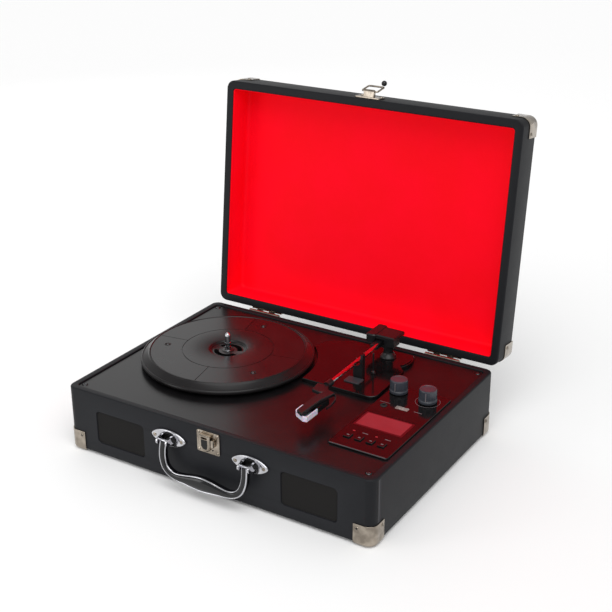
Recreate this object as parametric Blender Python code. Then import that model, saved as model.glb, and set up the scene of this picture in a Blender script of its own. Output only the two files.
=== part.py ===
import bpy
import bmesh
import math
from mathutils import Matrix, Vector

# Suitcase record player with its lid open. Metres, +Z up, front (handle side) towards -Y.

# overall case
caseW = 0.355
caseD = 0.2576
caseH = 0.0677
footH = 0.003
wallT = 0.0075
cornerR = 0.009
edgeR = 0.0012
caseY = -0.02767
gap = 0.0003
# deck
deckTop = 0.0662
ledgeTop = 0.0634
# lid, leaning back past upright about the hinge axis
lidT = 0.036
lidWall = 0.0088
lidLean = math.radians(6.34)
hingeOut = 0.00375
hingeDrop = 0.0034
lidBack = 0.00784
lidRise = -0.00008
# platter
platX = -0.0755
platY = 0.010
platR = 0.0920
spindleR = 0.0035
ringR = 0.0625
# motor
motorX = -0.037
motorY = -0.0575
pulleyR = 0.005
# tonearm
pivotX = 0.0711
pivotY = 0.0950
plateTop = 0.0703
tubeZ = 0.088
tubeR = 0.0022
liftY = 0.0950
liftZ = 0.0880
# controls
panelTop = 0.0679
knobR = 0.0095
knobH = 0.0147
# front fittings
speakerX = 0.1104
speakerZ = 0.0308
windowW = 0.0598
windowH = 0.0352
handleX = 0.0475
handleZ = 0.0465

for old in list(bpy.data.objects):
    bpy.data.objects.remove(old, do_unlink=True)

materials = {}


def material(name, colour, rough, metal):
    if name not in materials:
        m = bpy.data.materials.new(name)
        m.use_nodes = True
        shader = m.node_tree.nodes["Principled BSDF"]
        shader.inputs["Base Color"].default_value = (colour[0], colour[1], colour[2], 1.0)
        shader.inputs["Roughness"].default_value = rough
        shader.inputs["Metallic"].default_value = metal
        m.diffuse_color = (colour[0], colour[1], colour[2], 1.0)
        materials[name] = m
    return materials[name]


vinyl = material("vinyl_charcoal", (0.030, 0.031, 0.036), 0.55, 0.0)
board = material("hardboard_black", (0.025, 0.024, 0.023), 0.8, 0.0)
lining = material("lining_red", (0.80, 0.004, 0.020), 0.5, 0.0)
deckBlack = material("moulded_black_satin", (0.035, 0.033, 0.034), 0.3, 0.0)
glossBlack = material("moulded_black_gloss", (0.012, 0.012, 0.013), 0.12, 0.0)
nickel = material("nickel_plate", (0.62, 0.56, 0.50), 0.25, 1.0)
chrome = material("chrome_plate", (0.75, 0.75, 0.77), 0.1, 1.0)
steel = material("steel_bright", (0.60, 0.60, 0.60), 0.25, 1.0)
cloth = material("grille_cloth", (0.016, 0.015, 0.014), 0.9, 0.0)
rubber = material("rubber_black", (0.015, 0.015, 0.015), 0.8, 0.0)
paper = material("speaker_paper", (0.03, 0.03, 0.03), 0.85, 0.0)
knobGrey = material("knob_grey", (0.070, 0.074, 0.085), 0.35, 0.0)
glass = material("window_tinted", (0.38, 0.03, 0.04), 0.1, 0.0)
guardClear = material("guard_pale", (0.80, 0.72, 0.82), 0.3, 0.0)
boardGreen = material("circuit_green", (0.03, 0.14, 0.06), 0.5, 0.0)


def place(x, y, z):
    """Case-centred position to the part's frame."""
    return Vector((x, y + caseY, z + footH))


def roundRect(x0, x1, y0, y1, r, seg=4):
    pts = []
    for cx, cy, start in ((x1 - r, y1 - r, 0), (x0 + r, y1 - r, 90), (x0 + r, y0 + r, 180),
                          (x1 - r, y0 + r, 270)):
        for i in range(seg + 1):
            a = math.radians(start + 90.0 * i / seg)
            pts.append((cx + r * math.cos(a), cy + r * math.sin(a)))
    return pts


def roundPoly(corners, seg=4):
    """Corners as (x, y, radius), counter-clockwise."""
    pts = []
    n = len(corners)
    for i in range(n):
        x, y, r = corners[i]
        p = Vector((x, y))
        a = Vector(corners[i - 1][:2])
        b = Vector(corners[(i + 1) % n][:2])
        da = (a - p).normalized()
        db = (b - p).normalized()
        if r <= 0.0:
            pts.append((x, y))
            continue
        half = da.angle(db) / 2.0
        run = r / math.tan(half)
        centre = p + (da + db).normalized() * (r / math.sin(half))
        s = p + da * run - centre
        e = p + db * run - centre
        turn = s.angle_signed(e)
        for k in range(seg + 1):
            v = s.copy()
            v.rotate(Matrix.Rotation(-turn * k / seg, 2))
            pts.append((centre.x + v.x, centre.y + v.y))
    return pts


def arcPts(cx, cy, r, a0, a1, n):
    out = []
    for i in range(n + 1):
        a = math.radians(a0 + (a1 - a0) * i / n)
        out.append((cx + r * math.cos(a), cy + r * math.sin(a)))
    return out


def build(name, bm, mat, origin, smooth=False):
    """Turn a mesh in frame coordinates into an object whose origin lies at origin."""
    bmesh.ops.recalc_face_normals(bm, faces=bm.faces)
    bmesh.ops.translate(bm, verts=bm.verts, vec=-origin)
    me = bpy.data.meshes.new(name)
    bm.to_mesh(me)
    bm.free()
    me.materials.append(mat)
    for p in me.polygons:
        p.use_smooth = smooth
    if smooth:
        me.set_sharp_from_angle(angle=math.radians(35))
    ob = bpy.data.objects.new(name, me)
    ob.location = origin
    bpy.context.scene.collection.objects.link(ob)
    return ob


def addLoft(bm, rings, closed=False):
    """Skin equal-length rings of 3D points; capped at both ends, or joined end to start if closed."""
    rows = [[bm.verts.new(p) for p in ring] for ring in rings]
    n = len(rows[0])
    last = len(rows) if closed else len(rows) - 1
    for i in range(last):
        a = rows[i]
        b = rows[(i + 1) % len(rows)]
        for k in range(n):
            bm.faces.new((a[k], a[(k + 1) % n], b[(k + 1) % n], b[k]))
    if not closed:
        bm.faces.new(list(reversed(rows[0])))
        bm.faces.new(rows[-1])


def addPrism(bm, outline, z0, z1, ease=0.0, easeLow=0.0):
    """Upright prism from a plan outline, with small eased top and bottom edges."""
    cx = sum(p[0] for p in outline) / len(outline)
    cy = sum(p[1] for p in outline) / len(outline)

    def inset(d):
        pts = []
        n = len(outline)
        for i in range(n):
            p = Vector(outline[i])
            a = (p - Vector(outline[i - 1])).normalized()
            b = (Vector(outline[(i + 1) % n]) - p).normalized()
            nrm = (Vector((-a.y, a.x)) + Vector((-b.y, b.x))).normalized()
            scale = 1.0 / max(0.5, nrm.dot(Vector((-a.y, a.x))))
            pts.append((p.x + nrm.x * d * scale, p.y + nrm.y * d * scale))
        return pts

    rings = []
    if easeLow > 0.0:
        rings.append([place(x, y, z0) for x, y in inset(easeLow)])
        rings.append([place(x, y, z0 + easeLow) for x, y in outline])
    else:
        rings.append([place(x, y, z0) for x, y in outline])
    if ease > 0.0:
        rings.append([place(x, y, z1 - ease) for x, y in outline])
        rings.append([place(x, y, z1) for x, y in inset(ease)])
    else:
        rings.append([place(x, y, z1) for x, y in outline])
    addLoft(bm, rings)
    return cx, cy


def addLathe(bm, profile, centre, axis=(0, 0, 1), seg=24):
    """Turn a closed (radius, height) profile about an axis through centre (frame coordinates)."""
    rot = Vector((0, 0, 1)).rotation_difference(Vector(axis)).to_matrix()
    cols = []
    for i in range(seg):
        a = 2.0 * math.pi * i / seg
        col = []
        for k, (r, h) in enumerate(profile):
            if r < 1e-7:
                if i == 0:
                    col.append(bm.verts.new(Vector(centre) + rot @ Vector((0, 0, h))))
                else:
                    col.append(cols[0][k])
            else:
                col.append(bm.verts.new(Vector(centre) + rot @ Vector((r * math.cos(a), r * math.sin(a),
                                                                       h))))
        cols.append(col)
    n = len(profile)
    openEnds = profile[0][0] < 1e-7 and profile[-1][0] < 1e-7
    for i in range(seg):
        a = cols[i]
        b = cols[(i + 1) % seg]
        for k in range(n - 1 if openEnds else n):
            face = []
            for v in (a[k], b[k], b[(k + 1) % n], a[(k + 1) % n]):
                if v not in face:
                    face.append(v)
            if len(face) > 2:
                bm.faces.new(face)


def circle(r, seg, squash=1.0):
    return [(r * math.cos(2 * math.pi * i / seg),
             squash * r * math.sin(2 * math.pi * i / seg)) for i in range(seg)]


def cutter(name, bm):
    ob = build(name, bm, board, Vector((0, 0, 0)))
    ob.hide_render = True
    ob.hide_viewport = False
    ob.display_type = "WIRE"
    return ob


def cut(target, tool, operation="DIFFERENCE"):
    mod = target.modifiers.new("cut_" + tool.name, "BOOLEAN")
    mod.operation = operation
    mod.solver = "EXACT"
    mod.object = tool


def fuse(target, tool):
    cut(target, tool, "UNION")


def lidPlace(x, up, back):
    """Point on the lid: x across, up from the rim's lower edge, back from the rim plane."""
    y = halfD + lidBack + up * math.sin(lidLean) + back * math.cos(lidLean)
    z = caseH + lidRise + up * math.cos(lidLean) - back * math.sin(lidLean)
    return place(x, y, z)


halfW = caseW / 2
halfD = caseD / 2
innerX = halfW - wallT
innerY = halfD - wallT
origin = Vector((0, 0, 0))

# ---- case: wrapped wall frame with an inner ledge that carries the deck
bm = bmesh.new()


def caseRing(inset, z, r):
    return [place(x, y, z) for x, y in roundRect(-halfW + inset, halfW - inset, -halfD + inset,
                                                 halfD - inset, r, 6)]


ledgeIn = 0.0085
addLoft(bm, [
    caseRing(edgeR, 0.0, cornerR - edgeR),
    caseRing(0.0, edgeR, cornerR),
    caseRing(0.0, caseH - edgeR, cornerR),
    caseRing(edgeR, caseH, cornerR - edgeR),
    caseRing(wallT, caseH, 0.004),
    caseRing(wallT, ledgeTop, 0.004),
    caseRing(wallT + ledgeIn, ledgeTop, 0.004),
    caseRing(wallT + ledgeIn, ledgeTop - 0.005, 0.004),
    caseRing(wallT, ledgeTop - 0.005, 0.004),
    caseRing(wallT, 0.0, 0.004),
], closed=True)
caseShell = build("case_shell", bm, vinyl, origin)

bm = bmesh.new()
for sx in (-1, 1):
    pts = roundRect(sx * speakerX - windowW / 2, sx * speakerX + windowW / 2,
                    speakerZ - windowH / 2, speakerZ + windowH / 2, 0.004, 4)
    addLoft(bm, [[place(x, -halfD - 0.005, z) for x, z in pts],
                 [place(x, -innerY + 0.005, z) for x, z in pts]])
jackX = -0.120
jackZ = 0.030
pts = roundRect(jackX - 0.026, jackX + 0.026, jackZ - 0.010, jackZ + 0.010, 0.002, 2)
addLoft(bm, [[place(x, innerY - 0.005, z) for x, z in pts], [place(x, halfD + 0.005, z) for x, z in pts]])
cut(caseShell, cutter("cut_case_openings", bm))

# ---- bottom board and feet
bm = bmesh.new()
inn = wallT + gap
addPrism(bm, roundRect(-halfW + inn, halfW - inn, -halfD + inn, halfD - inn, 0.0037, 4), 0.0008, 0.0038)
bottom = build("bottom_board", bm, board, origin)
bm = bmesh.new()
for sx in (-1, 1):
    for sy in (-1, 1):
        addLathe(bm, [(0, 0), (0.0065, 0), (0.0072, 0.0006), (0.0075, 0.0050), (0, 0.0050)],
                 Vector((sx * 0.1450, sy * 0.1050 + caseY, 0.0)), seg=12)
fuse(bottom, cutter("feet", bm))

# ---- deck plate
bm = bmesh.new()
dx = innerX - 0.0004
dy = innerY - 0.0004
addPrism(bm, roundRect(-dx, dx, -dy, dy, 0.0036, 4), ledgeTop + gap, deckTop, 0.0004)
deck = build("deck_plate", bm, deckBlack, origin)

bm = bmesh.new()
addLathe(bm, [(0, -0.01), (0.0063, -0.01), (0.0063, 0.01), (0, 0.01)], place(platX, platY, 0.065), seg=16)
addLathe(bm, [(0, -0.01), (0.0075, -0.01), (0.0075, 0.01), (0, 0.01)], place(motorX, motorY, 0.065), seg=16)
addLathe(bm, [(0, -0.01), (0.0046, -0.01), (0.0046, 0.01), (0, 0.01)], place(pivotX, pivotY, 0.065), seg=16)
screwX = 0.1650
screwY = 0.1155
for sx in (-1, 1):
    for sy in (-1, 1):
        addLathe(bm, [(0, 0.0), (0.0034, 0.0), (0.0034, 0.01), (0, 0.01)],
                 place(sx * screwX, sy * screwY, 0.0652), seg=10)
cut(deck, cutter("cut_deck_holes", bm))

bm = bmesh.new()
for sx in (-1, 1):
    for sy in (-1, 1):
        addLathe(bm, [(0, -0.0010), (0.0029, -0.0010), (0.0029, 0.0008), (0.0020, 0.0015), (0, 0.0017)],
                 place(sx * screwX, sy * screwY, 0.0652), seg=10)
fuse(deck, cutter("deck_screw_heads", bm))

# ---- loudspeakers behind the front windows
for tag, sx in (("left", -1), ("right", 1)):
    cx = sx * speakerX
    bm = bmesh.new()
    w = windowW / 2 - gap
    h = windowH / 2 - gap
    pts = roundRect(cx - w, cx + w, speakerZ - h, speakerZ + h, 0.0037, 4)
    addLoft(bm, [[place(x, -halfD + 0.0010, z) for x, z in pts],
                 [place(x, -halfD + 0.0032, z) for x, z in pts]])
    build("grille_" + tag, bm, cloth, origin)
    face = -innerY + gap
    bm = bmesh.new()
    addLathe(bm, [(0, 0.0080), (0.0060, 0.0092), (0.0085, 0.0118), (0.0215, 0.0012), (0.0225, 0),
                  (0.0255, 0),
                  (0.0255, 0.0016), (0.0240, 0.0026), (0.0150, 0.0150), (0.0150, 0.0245), (0, 0.0245)],
             place(cx, face, speakerZ), (0, 1, 0), 20)
    build("speaker_driver_" + tag, bm, paper, origin, True)

# ---- corner guards: folded caps with one rounded edge, and three skins at each corner
guardT = 0.0006


def addCorner(bm, sx, sy, sz, x, y, z, size, flip=None):
    """Cap over the box corner at (x, y, z) whose outward directions are (sx, sy, sz); quarter-round plan."""
    seg = 4
    r = cornerR

    def ring(off, zz, reach):
        pts = []
        pts.append((x - sx * reach, y + sy * off))
        for i in range(seg + 1):
            a = math.radians(90.0 * i / seg)
            pts.append((x - sx * r + sx * (r + off) * math.sin(a),
                        y - sy * r + sy * (r + off) * math.cos(a)))
        pts.append((x + sx * off, y - sy * reach))
        return [Vector((px, py, zz)) for px, py in pts]

    inner = gap
    outer = gap + guardT
    high = z - sz * size
    rows = [ring(inner, high, size), ring(outer, high, size), ring(outer, z - sz * 0.0012, size),
            ring(outer - 0.0010, z + sz * outer, size - 0.0006)]
    under = ring(outer - 0.0010, z + sz * outer, size - 0.0006)
    inside = [ring(inner - 0.0013, z + sz * inner, size - 0.0009), ring(inner, z - sz * 0.0012, size)]
    allRows = rows + inside
    vs = [[bm.verts.new(p if flip is None else flip @ p) for p in row] for row in allRows]
    n = len(under)
    m = len(vs)
    for i in range(m):
        if i == 3:
            continue
        a = vs[i]
        b = vs[(i + 1) % m]
        for k in range(n - 1):
            bm.faces.new((a[k], a[k + 1], b[k + 1], b[k]))
    # flat lip under the corner, outside and inside skins joined along their straight chord
    bm.faces.new(vs[3])
    bm.faces.new(vs[4])
    bm.faces.new((vs[3][0], vs[3][-1], vs[4][-1], vs[4][0]))
    for end in (0, -1):
        bm.faces.new([vs[i][end] for i in range(m)])


def addHead(bm, at, axis, r=0.0020, sink=0.0004):
    """Domed screw or rivet head standing on a plate, sunk a little into it so that the two join."""
    addLathe(bm, [(0, -sink), (r, -sink), (r, 0.0001), (r * 0.75, 0.0007), (0, 0.0010)], at, axis, 8)


corners = {(-1, -1): "front_left", (1, -1): "front_right", (-1, 1): "rear_left", (1, 1): "rear_right"}
off = gap + guardT
for (sx, sy), tag in corners.items():
    bm = bmesh.new()
    addCorner(bm, sx, sy, -1, sx * halfW, sy * halfD + caseY, footH, 0.020)
    guard = build("base_guard_" + tag, bm, nickel, origin)
    bm = bmesh.new()
    addHead(bm, place(sx * (halfW - 0.0160), sy * (halfD + off), 0.0155), (0, sy, 0), r=0.0014)
    addHead(bm, place(sx * (halfW + off), sy * (halfD - 0.0160), 0.0155), (sx, 0, 0), r=0.0014)
    fuse(guard, cutter("base_rivets_" + tag, bm))

# ---- handle: two end plates on the front wall and a bow that swings on them
front = -halfD
pinY = front - gap - 0.0080
plateShape = [(0.0208, -0.0020), (0.0208, 0.0020), (0.0180, 0.0052), (0.0090, 0.0078), (0.0, 0.0088),
              (-0.0090, 0.0078), (-0.0180, 0.0052), (-0.0208, 0.0020), (-0.0208, -0.0020),
              (-0.0180, -0.0048),
              (-0.0090, -0.0078), (0.0, -0.0088), (0.0090, -0.0078), (0.0180, -0.0048)]
for tag, sx in (("left", -1), ("right", 1)):
    cx = sx * handleX
    bm = bmesh.new()
    addLoft(bm, [[place(cx + a, front - gap, handleZ + b) for a, b in plateShape],
                 [place(cx + a, front - gap - 0.0012, handleZ + b) for a, b in plateShape],
                 [place(cx + a * 0.94, front - gap - 0.0024, handleZ + b * 0.85) for a, b in plateShape]])
    plate = build("handle_plate_" + tag, bm, chrome, origin)
    bm = bmesh.new()
    for ex in (-0.0056, 0.0056):
        ear = [(0.0010, 0.0040), (-0.0082, 0.0034), (-0.0108, 0.0018), (-0.0114, 0.0), (-0.0108, -0.0018),
               (-0.0082, -0.0034), (0.0010, -0.0040)]
        addLoft(bm, [[place(cx + ex - 0.0011, front - gap - 0.0020 + a, handleZ + b) for a, b in ear],
                     [place(cx + ex + 0.0011, front - gap - 0.0020 + a, handleZ + b) for a, b in ear]])
    fuse(plate, cutter("ears_" + tag, bm))
    bm = bmesh.new()
    addLathe(bm, [(0, -0.012), (0.0016, -0.012), (0.0016, 0.012), (0, 0.012)], place(cx, pinY, handleZ),
             (1, 0, 0), 14)
    cut(plate, cutter("holes_" + tag, bm))
    bm = bmesh.new()
    for ex in (-0.0160, 0.0160):
        addHead(bm, place(cx + ex, front - gap - 0.0024, handleZ), (0, -1, 0), sink=0.0010)
    fuse(plate, cutter("plate_screws_" + tag, bm))

bowLine = [(0.0475, 0.0465, 0.0, 0.0039, 0.0034), (0.0480, 0.0375, 0.0010, 0.0038, 0.0040),
           (0.0472, 0.0295, 0.0020, 0.0038, 0.0042), (0.0440, 0.0215, 0.0030, 0.0037, 0.0042),
           (0.0380, 0.0166, 0.0035, 0.0037, 0.0043), (0.0300, 0.0147, 0.0040, 0.0040, 0.0045),
           (0.0200, 0.0150, 0.0040, 0.0052, 0.0049), (0.0090, 0.0156, 0.0040, 0.0069, 0.0053)]
bowMid = [(0.0, 0.0158, 0.0040, 0.0076, 0.0055)]
bowAll = [(-x, z, o, w, t) for x, z, o, w, t in bowLine] + bowMid + list(reversed(bowLine))
rings = []
for i, (x, z, o, w, t) in enumerate(bowAll):
    a = bowAll[max(i - 1, 0)]
    b = bowAll[min(i + 1, len(bowAll) - 1)]
    along = Vector((b[0] - a[0], b[1] - a[1])).normalized()
    if i in (0, len(bowAll) - 1):
        along = Vector((0.0, -1.0 if i == 0 else 1.0))
    nx, nz = -along.y, along.x
    ring = []
    for k in range(10):
        ang = 2 * math.pi * k / 10
        u = math.copysign(abs(math.cos(ang)) ** 0.7, math.cos(ang)) * w
        v = math.copysign(abs(math.sin(ang)) ** 0.7, math.sin(ang)) * t
        ring.append(place(x + nx * u, pinY - o + v, z + nz * u))
    rings.append(ring)
bm = bmesh.new()
addLoft(bm, rings)
hinge = place(0, pinY, handleZ)
bow = build("handle_bow", bm, glossBlack, hinge, True)
bm = bmesh.new()
for sx in (-1, 1):
    addLathe(bm, [(0, -0.0064), (0.0015, -0.0064), (0.0015, 0.0064), (0, 0.0064)],
             place(sx * handleX, pinY, handleZ), (1, 0, 0), 14)
fuse(bow, cutter("bow_pins", bm))

# ---- latch on the base: plate, raised catch with a mouth, side slider
latchZ = 0.0555
bm = bmesh.new()
pts = roundRect(-0.0130, 0.0130, latchZ - 0.0118, latchZ + 0.0108, 0.0015, 2)
addLoft(bm, [[place(x, front - gap, z) for x, z in pts],
             [place(x, front - gap - 0.0010, z) for x, z in pts]])
latchPlate = build("latch_plate", bm, nickel, origin)
bm = bmesh.new()
for ex, ez in ((-0.0108, 0.0088), (0.0108, 0.0088), (-0.0108, -0.0096), (0.0108, -0.0096)):
    addHead(bm, place(ex, front - gap - 0.0010, latchZ + ez), (0, -1, 0), r=0.0016)
fuse(latchPlate, cutter("latch_rivets", bm))
bm = bmesh.new()
catch = [(-0.0078, 0.0085), (-0.0078, -0.0030), (-0.0050, -0.0075), (0.0, -0.0088), (0.0030, -0.0075),
         (0.0042, -0.0030), (0.0042, 0.0085)]
y0 = front - gap - 0.0010 - gap
addLoft(bm, [[place(x, y0, latchZ + z) for x, z in catch],
             [place(x, y0 - 0.0030, latchZ + z) for x, z in catch],
             [place(-0.0018 + (x + 0.0018) * 0.86, y0 - 0.0040, latchZ + z * 0.88) for x, z in catch]])
latchCatch = build("latch_catch", bm, nickel, origin)
bm = bmesh.new()
pts = roundRect(-0.0055, 0.0019, latchZ + 0.0046, latchZ + 0.0068, 0.0009, 2)
addLoft(bm, [[place(x, y0 - 0.0060, z) for x, z in pts], [place(x, y0 - 0.0008, z) for x, z in pts]])
cut(latchCatch, cutter("latch_mouth", bm))
bm = bmesh.new()
pts = roundRect(0.0048, 0.0086, latchZ - 0.0030, latchZ + 0.0050, 0.0012, 2)
addLoft(bm, [[place(x, y0, z) for x, z in pts], [place(x, y0 - 0.0022, z) for x, z in pts],
             [place(0.0067 + (x - 0.0067) * 0.7, y0 - 0.0032, z) for x, z in pts]])
build("latch_slider", bm, nickel, place(0.0067, y0, latchZ), False)

# ---- hinges: base leaves, lid leaves, pins
hingeCY = halfD + hingeOut
hingeCZ = caseH - hingeDrop
hingeRim = 0.0037
lidHinge = place(0, hingeCY, hingeCZ)
leafT = 0.0012
knuckleR = 0.0030
hingeXs = (-0.1115, 0.1160)
segs = 12
knuckles = 5
hingeLen = 0.040
step = hingeLen / knuckles


def knuckleSpan(i):
    a = -hingeLen / 2 + i * step + 0.00015
    return a, a + step - 0.0003


for tag, cx in (("left", hingeXs[0]), ("right", hingeXs[1])):
    # leaf on the case wall, with the outer and middle knuckles and the staked pin
    bm = bmesh.new()
    leafEdge = [(halfD + gap, hingeCZ - 0.0260), (halfD + gap + leafT, hingeCZ - 0.0260),
                (halfD + gap + leafT, hingeCZ - 0.0090), (halfD + gap, hingeCZ - 0.0090)]
    addLoft(bm, [[place(cx - hingeLen / 2, y, z) for y, z in leafEdge],
                 [place(cx + hingeLen / 2, y, z) for y, z in leafEdge]])
    leaf = build("hinge_base_leaf_" + tag, bm, nickel, origin, True)
    bm = bmesh.new()
    web = [(halfD + gap + 0.0001, hingeCZ - 0.0110), (halfD + gap + leafT - 0.0001, hingeCZ - 0.0110),
           (halfD + gap + leafT - 0.0001, hingeCZ - 0.0026), (hingeCY + 0.0004, hingeCZ - 0.0014),
           (hingeCY - 0.0010, hingeCZ + 0.0008), (halfD + gap + 0.0001, hingeCZ + 0.0002)]
    for i in (0, 2, 4):
        x0, x1 = knuckleSpan(i)
        addLoft(bm, [[place(cx + x0 + 0.0001, y, z) for y, z in web],
                     [place(cx + x1 - 0.0001, y, z) for y, z in web]])
    fuse(leaf, cutter("base_webs_" + tag, bm))
    bm = bmesh.new()
    for i in (0, 2, 4):
        x0, x1 = knuckleSpan(i)
        addLathe(bm, [(0, x0), (knuckleR, x0), (knuckleR, x1), (0, x1)], place(cx, hingeCY, hingeCZ),
                 (1, 0, 0), segs)
    fuse(leaf, cutter("base_knuckles_" + tag, bm))
    bm = bmesh.new()
    half = hingeLen / 2 + 0.0006
    addLathe(bm, [(0, -half), (0.0016, -half), (0.0016, half), (0, half)], place(cx, hingeCY, hingeCZ),
             (1, 0, 0), segs)
    for e in (-0.014, 0.014):
        addHead(bm, place(cx + e, halfD + gap + leafT, hingeCZ - 0.0185), (0, 1, 0), sink=0.0006)
    fuse(leaf, cutter("base_pin_" + tag, bm))
    # leaf on the lid wall, with the two knuckles between them
    bm = bmesh.new()
    leafEdge = [(-gap - leafT, 0.0010), (-gap, 0.0010), (-gap, 0.0250), (-gap - leafT, 0.0250)]
    addLoft(bm, [[lidPlace(cx - hingeLen / 2, u, k) for u, k in leafEdge],
                 [lidPlace(cx + hingeLen / 2, u, k) for u, k in leafEdge]])
    leaf = build("hinge_lid_leaf_" + tag, bm, nickel, lidHinge, True)
    bm = bmesh.new()
    web = [(-gap - leafT + 0.0001, 0.0030), (-gap - 0.0001, 0.0030), (-gap - 0.0001, 0.0006),
           (-hingeOut + 0.0016, -hingeRim + 0.0010), (-hingeOut - 0.0004, -hingeRim + 0.0004),
           (-gap - leafT - 0.0010, -hingeRim + 0.0018)]
    for i in (1, 3):
        x0, x1 = knuckleSpan(i)
        addLoft(bm, [[lidPlace(cx + x0 + 0.0001, u, k) for u, k in web],
                     [lidPlace(cx + x1 - 0.0001, u, k) for u, k in web]])
    fuse(leaf, cutter("lid_webs_" + tag, bm))
    bm = bmesh.new()
    for i in (1, 3):
        x0, x1 = knuckleSpan(i)
        addLathe(bm, [(0, x0), (knuckleR, x0), (knuckleR, x1), (0, x1)], place(cx, hingeCY, hingeCZ),
                 (1, 0, 0), segs)
    lidUp = lidPlace(0, 1, 0) - lidPlace(0, 0, 0)
    for e in (-0.014, 0.014):
        addHead(bm, lidPlace(cx + e, -gap - leafT, 0.0160), -lidUp, sink=0.0006)
    fuse(leaf, cutter("lid_knuckles_" + tag, bm))
    bm = bmesh.new()
    addLathe(bm, [(0, -0.0250), (0.00168, -0.0250), (0.00168, 0.0250), (0, 0.0250)],
             place(cx, hingeCY, hingeCZ), (1, 0, 0), segs)
    cut(leaf, cutter("lid_bore_" + tag, bm))

# ---- lid: wrapped tray, red lining tray inside it, corner guards, screws
bm = bmesh.new()


def lidRing(inset, back, r):
    return [lidPlace(x, u, back) for x, u in roundRect(-halfW + inset, halfW - inset, inset, caseD - inset,
                                                       r, 6)]


addLoft(bm, [
    lidRing(0.0030, lidT, 0.0065),
    lidRing(0.0009, lidT - 0.0009, cornerR - 0.0009),
    lidRing(0.0, lidT - 0.0030, cornerR),
    lidRing(0.0, 0.0010, cornerR),
    lidRing(0.0010, 0.0, cornerR - 0.0010),
    lidRing(lidWall, 0.0, 0.0035),
    lidRing(lidWall, lidT - 0.0045, 0.0035),
])
build("lid_shell", bm, vinyl, lidHinge)
bm = bmesh.new()
li = lidWall + 0.0002
lineT = 0.0006
addLoft(bm, [
    lidRing(li, lidT - 0.0048, 0.0032),
    lidRing(li, 0.0006, 0.0032),
    lidRing(li + lineT, 0.0006, 0.0028),
    lidRing(li + lineT, lidT - 0.0055, 0.0028),
])
build("lid_lining", bm, lining, lidHinge)

lidFrame = Matrix.Identity(4)
o = lidPlace(0, 0, 0)
ex = lidPlace(1, 0, 0) - o
eu = lidPlace(0, 1, 0) - o
ek = lidPlace(0, 0, 1) - o
for i in range(3):
    lidFrame[i][0] = ex[i]
    lidFrame[i][1] = eu[i]
    lidFrame[i][2] = ek[i]
    lidFrame[i][3] = o[i]
lidCorners = {(-1, -1): "lower_left", (1, -1): "lower_right", (-1, 1): "upper_left", (1, 1): "upper_right"}
for (sx, su), tag in lidCorners.items():
    cu = caseD if su > 0 else 0.0
    k = lidT - 0.0155
    bm = bmesh.new()
    addCorner(bm, sx, su, 1, sx * halfW, cu, lidT, 0.0200, lidFrame)
    guard = build("lid_guard_" + tag, bm, nickel, lidHinge)
    bm = bmesh.new()
    addHead(bm, lidPlace(sx * (halfW - 0.0160), cu + su * off, k), eu * su, r=0.0014)
    addHead(bm, lidPlace(sx * (halfW + off), cu - su * 0.0160, k), ex * sx, r=0.0014)
    fuse(guard, cutter("lid_rivets_" + tag, bm))

# ---- hasp on the lid's front wall: bracket, wire loop on it, dark knob on the loop
hx = 0.0
haspUp = caseD + 0.0073
haspK = 0.0080
bm = bmesh.new()
pts = roundRect(hx - 0.0150, hx + 0.0150, 0.0030, 0.0170, 0.0015, 2)
addLoft(bm, [[lidPlace(x, caseD + gap, k) for x, k in pts],
             [lidPlace(x, caseD + gap + 0.0012, k) for x, k in pts]])
bracket = build("hasp_bracket", bm, nickel, lidHinge)
bm = bmesh.new()
lug = [(caseD + 0.0010, haspK - 0.0024), (haspUp, haspK - 0.0020), (haspUp + 0.0018, haspK),
       (haspUp, haspK + 0.0020), (caseD + 0.0010, haspK + 0.0024)]
addLoft(bm, [[lidPlace(hx - 0.0060, u, k) for u, k in lug], [lidPlace(hx + 0.0060, u, k) for u, k in lug]])
fuse(bracket, cutter("hasp_lug", bm))
bm = bmesh.new()
addLathe(bm, [(0, -0.012), (0.0013, -0.012), (0.0013, 0.012), (0, 0.012)], lidPlace(hx, haspUp, haspK),
         (1, 0, 0), 14)
cut(bracket, cutter("hasp_bore", bm))
bm = bmesh.new()
for e in (-0.0115, 0.0115):
    addHead(bm, lidPlace(hx + e, caseD + gap + 0.0012, 0.0135), eu, sink=0.0006)
fuse(bracket, cutter("hasp_screws", bm))

haspTilt = math.radians(13.0)
loopLen = 0.0155


def loopPoint(x, along):
    return lidPlace(hx + x, haspUp + along * math.sin(haspTilt), haspK + along * math.cos(haspTilt))


bm = bmesh.new()
loop = [(-0.0080, 0.0), (-0.0092, 0.0013), (-0.0092, loopLen - 0.0020), (-0.0072, loopLen),
        (0.0072, loopLen),
        (0.0092, loopLen - 0.0020), (0.0092, 0.0013), (0.0080, 0.0)]
path = [loopPoint(x, a) for x, a in loop]
wire = []
for i, p in enumerate(path):
    q = path[i - 1]
    n = path[(i + 1) % len(path)]
    t = (n - q).normalized()
    upv = (loopPoint(0, 0) - lidPlace(hx, haspUp, haspK) + lidPlace(0, math.cos(haspTilt),
                                                                    -math.sin(haspTilt)) - o).normalized()
    side = t.cross(upv).normalized()
    wire.append([p + side * a + upv * b for a, b in circle(0.0010, 8)])
addLoft(bm, wire, closed=True)
haspAxis = lidPlace(hx, haspUp, haspK)
build("hasp_loop", bm, nickel, haspAxis, True)
bm = bmesh.new()
at = loopPoint(0.0092, loopLen) + (lidPlace(0, math.cos(haspTilt), -math.sin(haspTilt)) - o) * 0.0015
ball = [(0, -0.0001)] + [(0.0030 * math.sin(math.radians(a)), 0.0030 - 0.0030 * math.cos(math.radians(a)))
                         for a in (40, 75, 105, 140)] + [(0, 0.0060)]
addLathe(bm, ball, at, lidPlace(0, math.cos(haspTilt), -math.sin(haspTilt)) - o, 12)
build("hasp_knob", bm, glossBlack, haspAxis, True)

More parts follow.
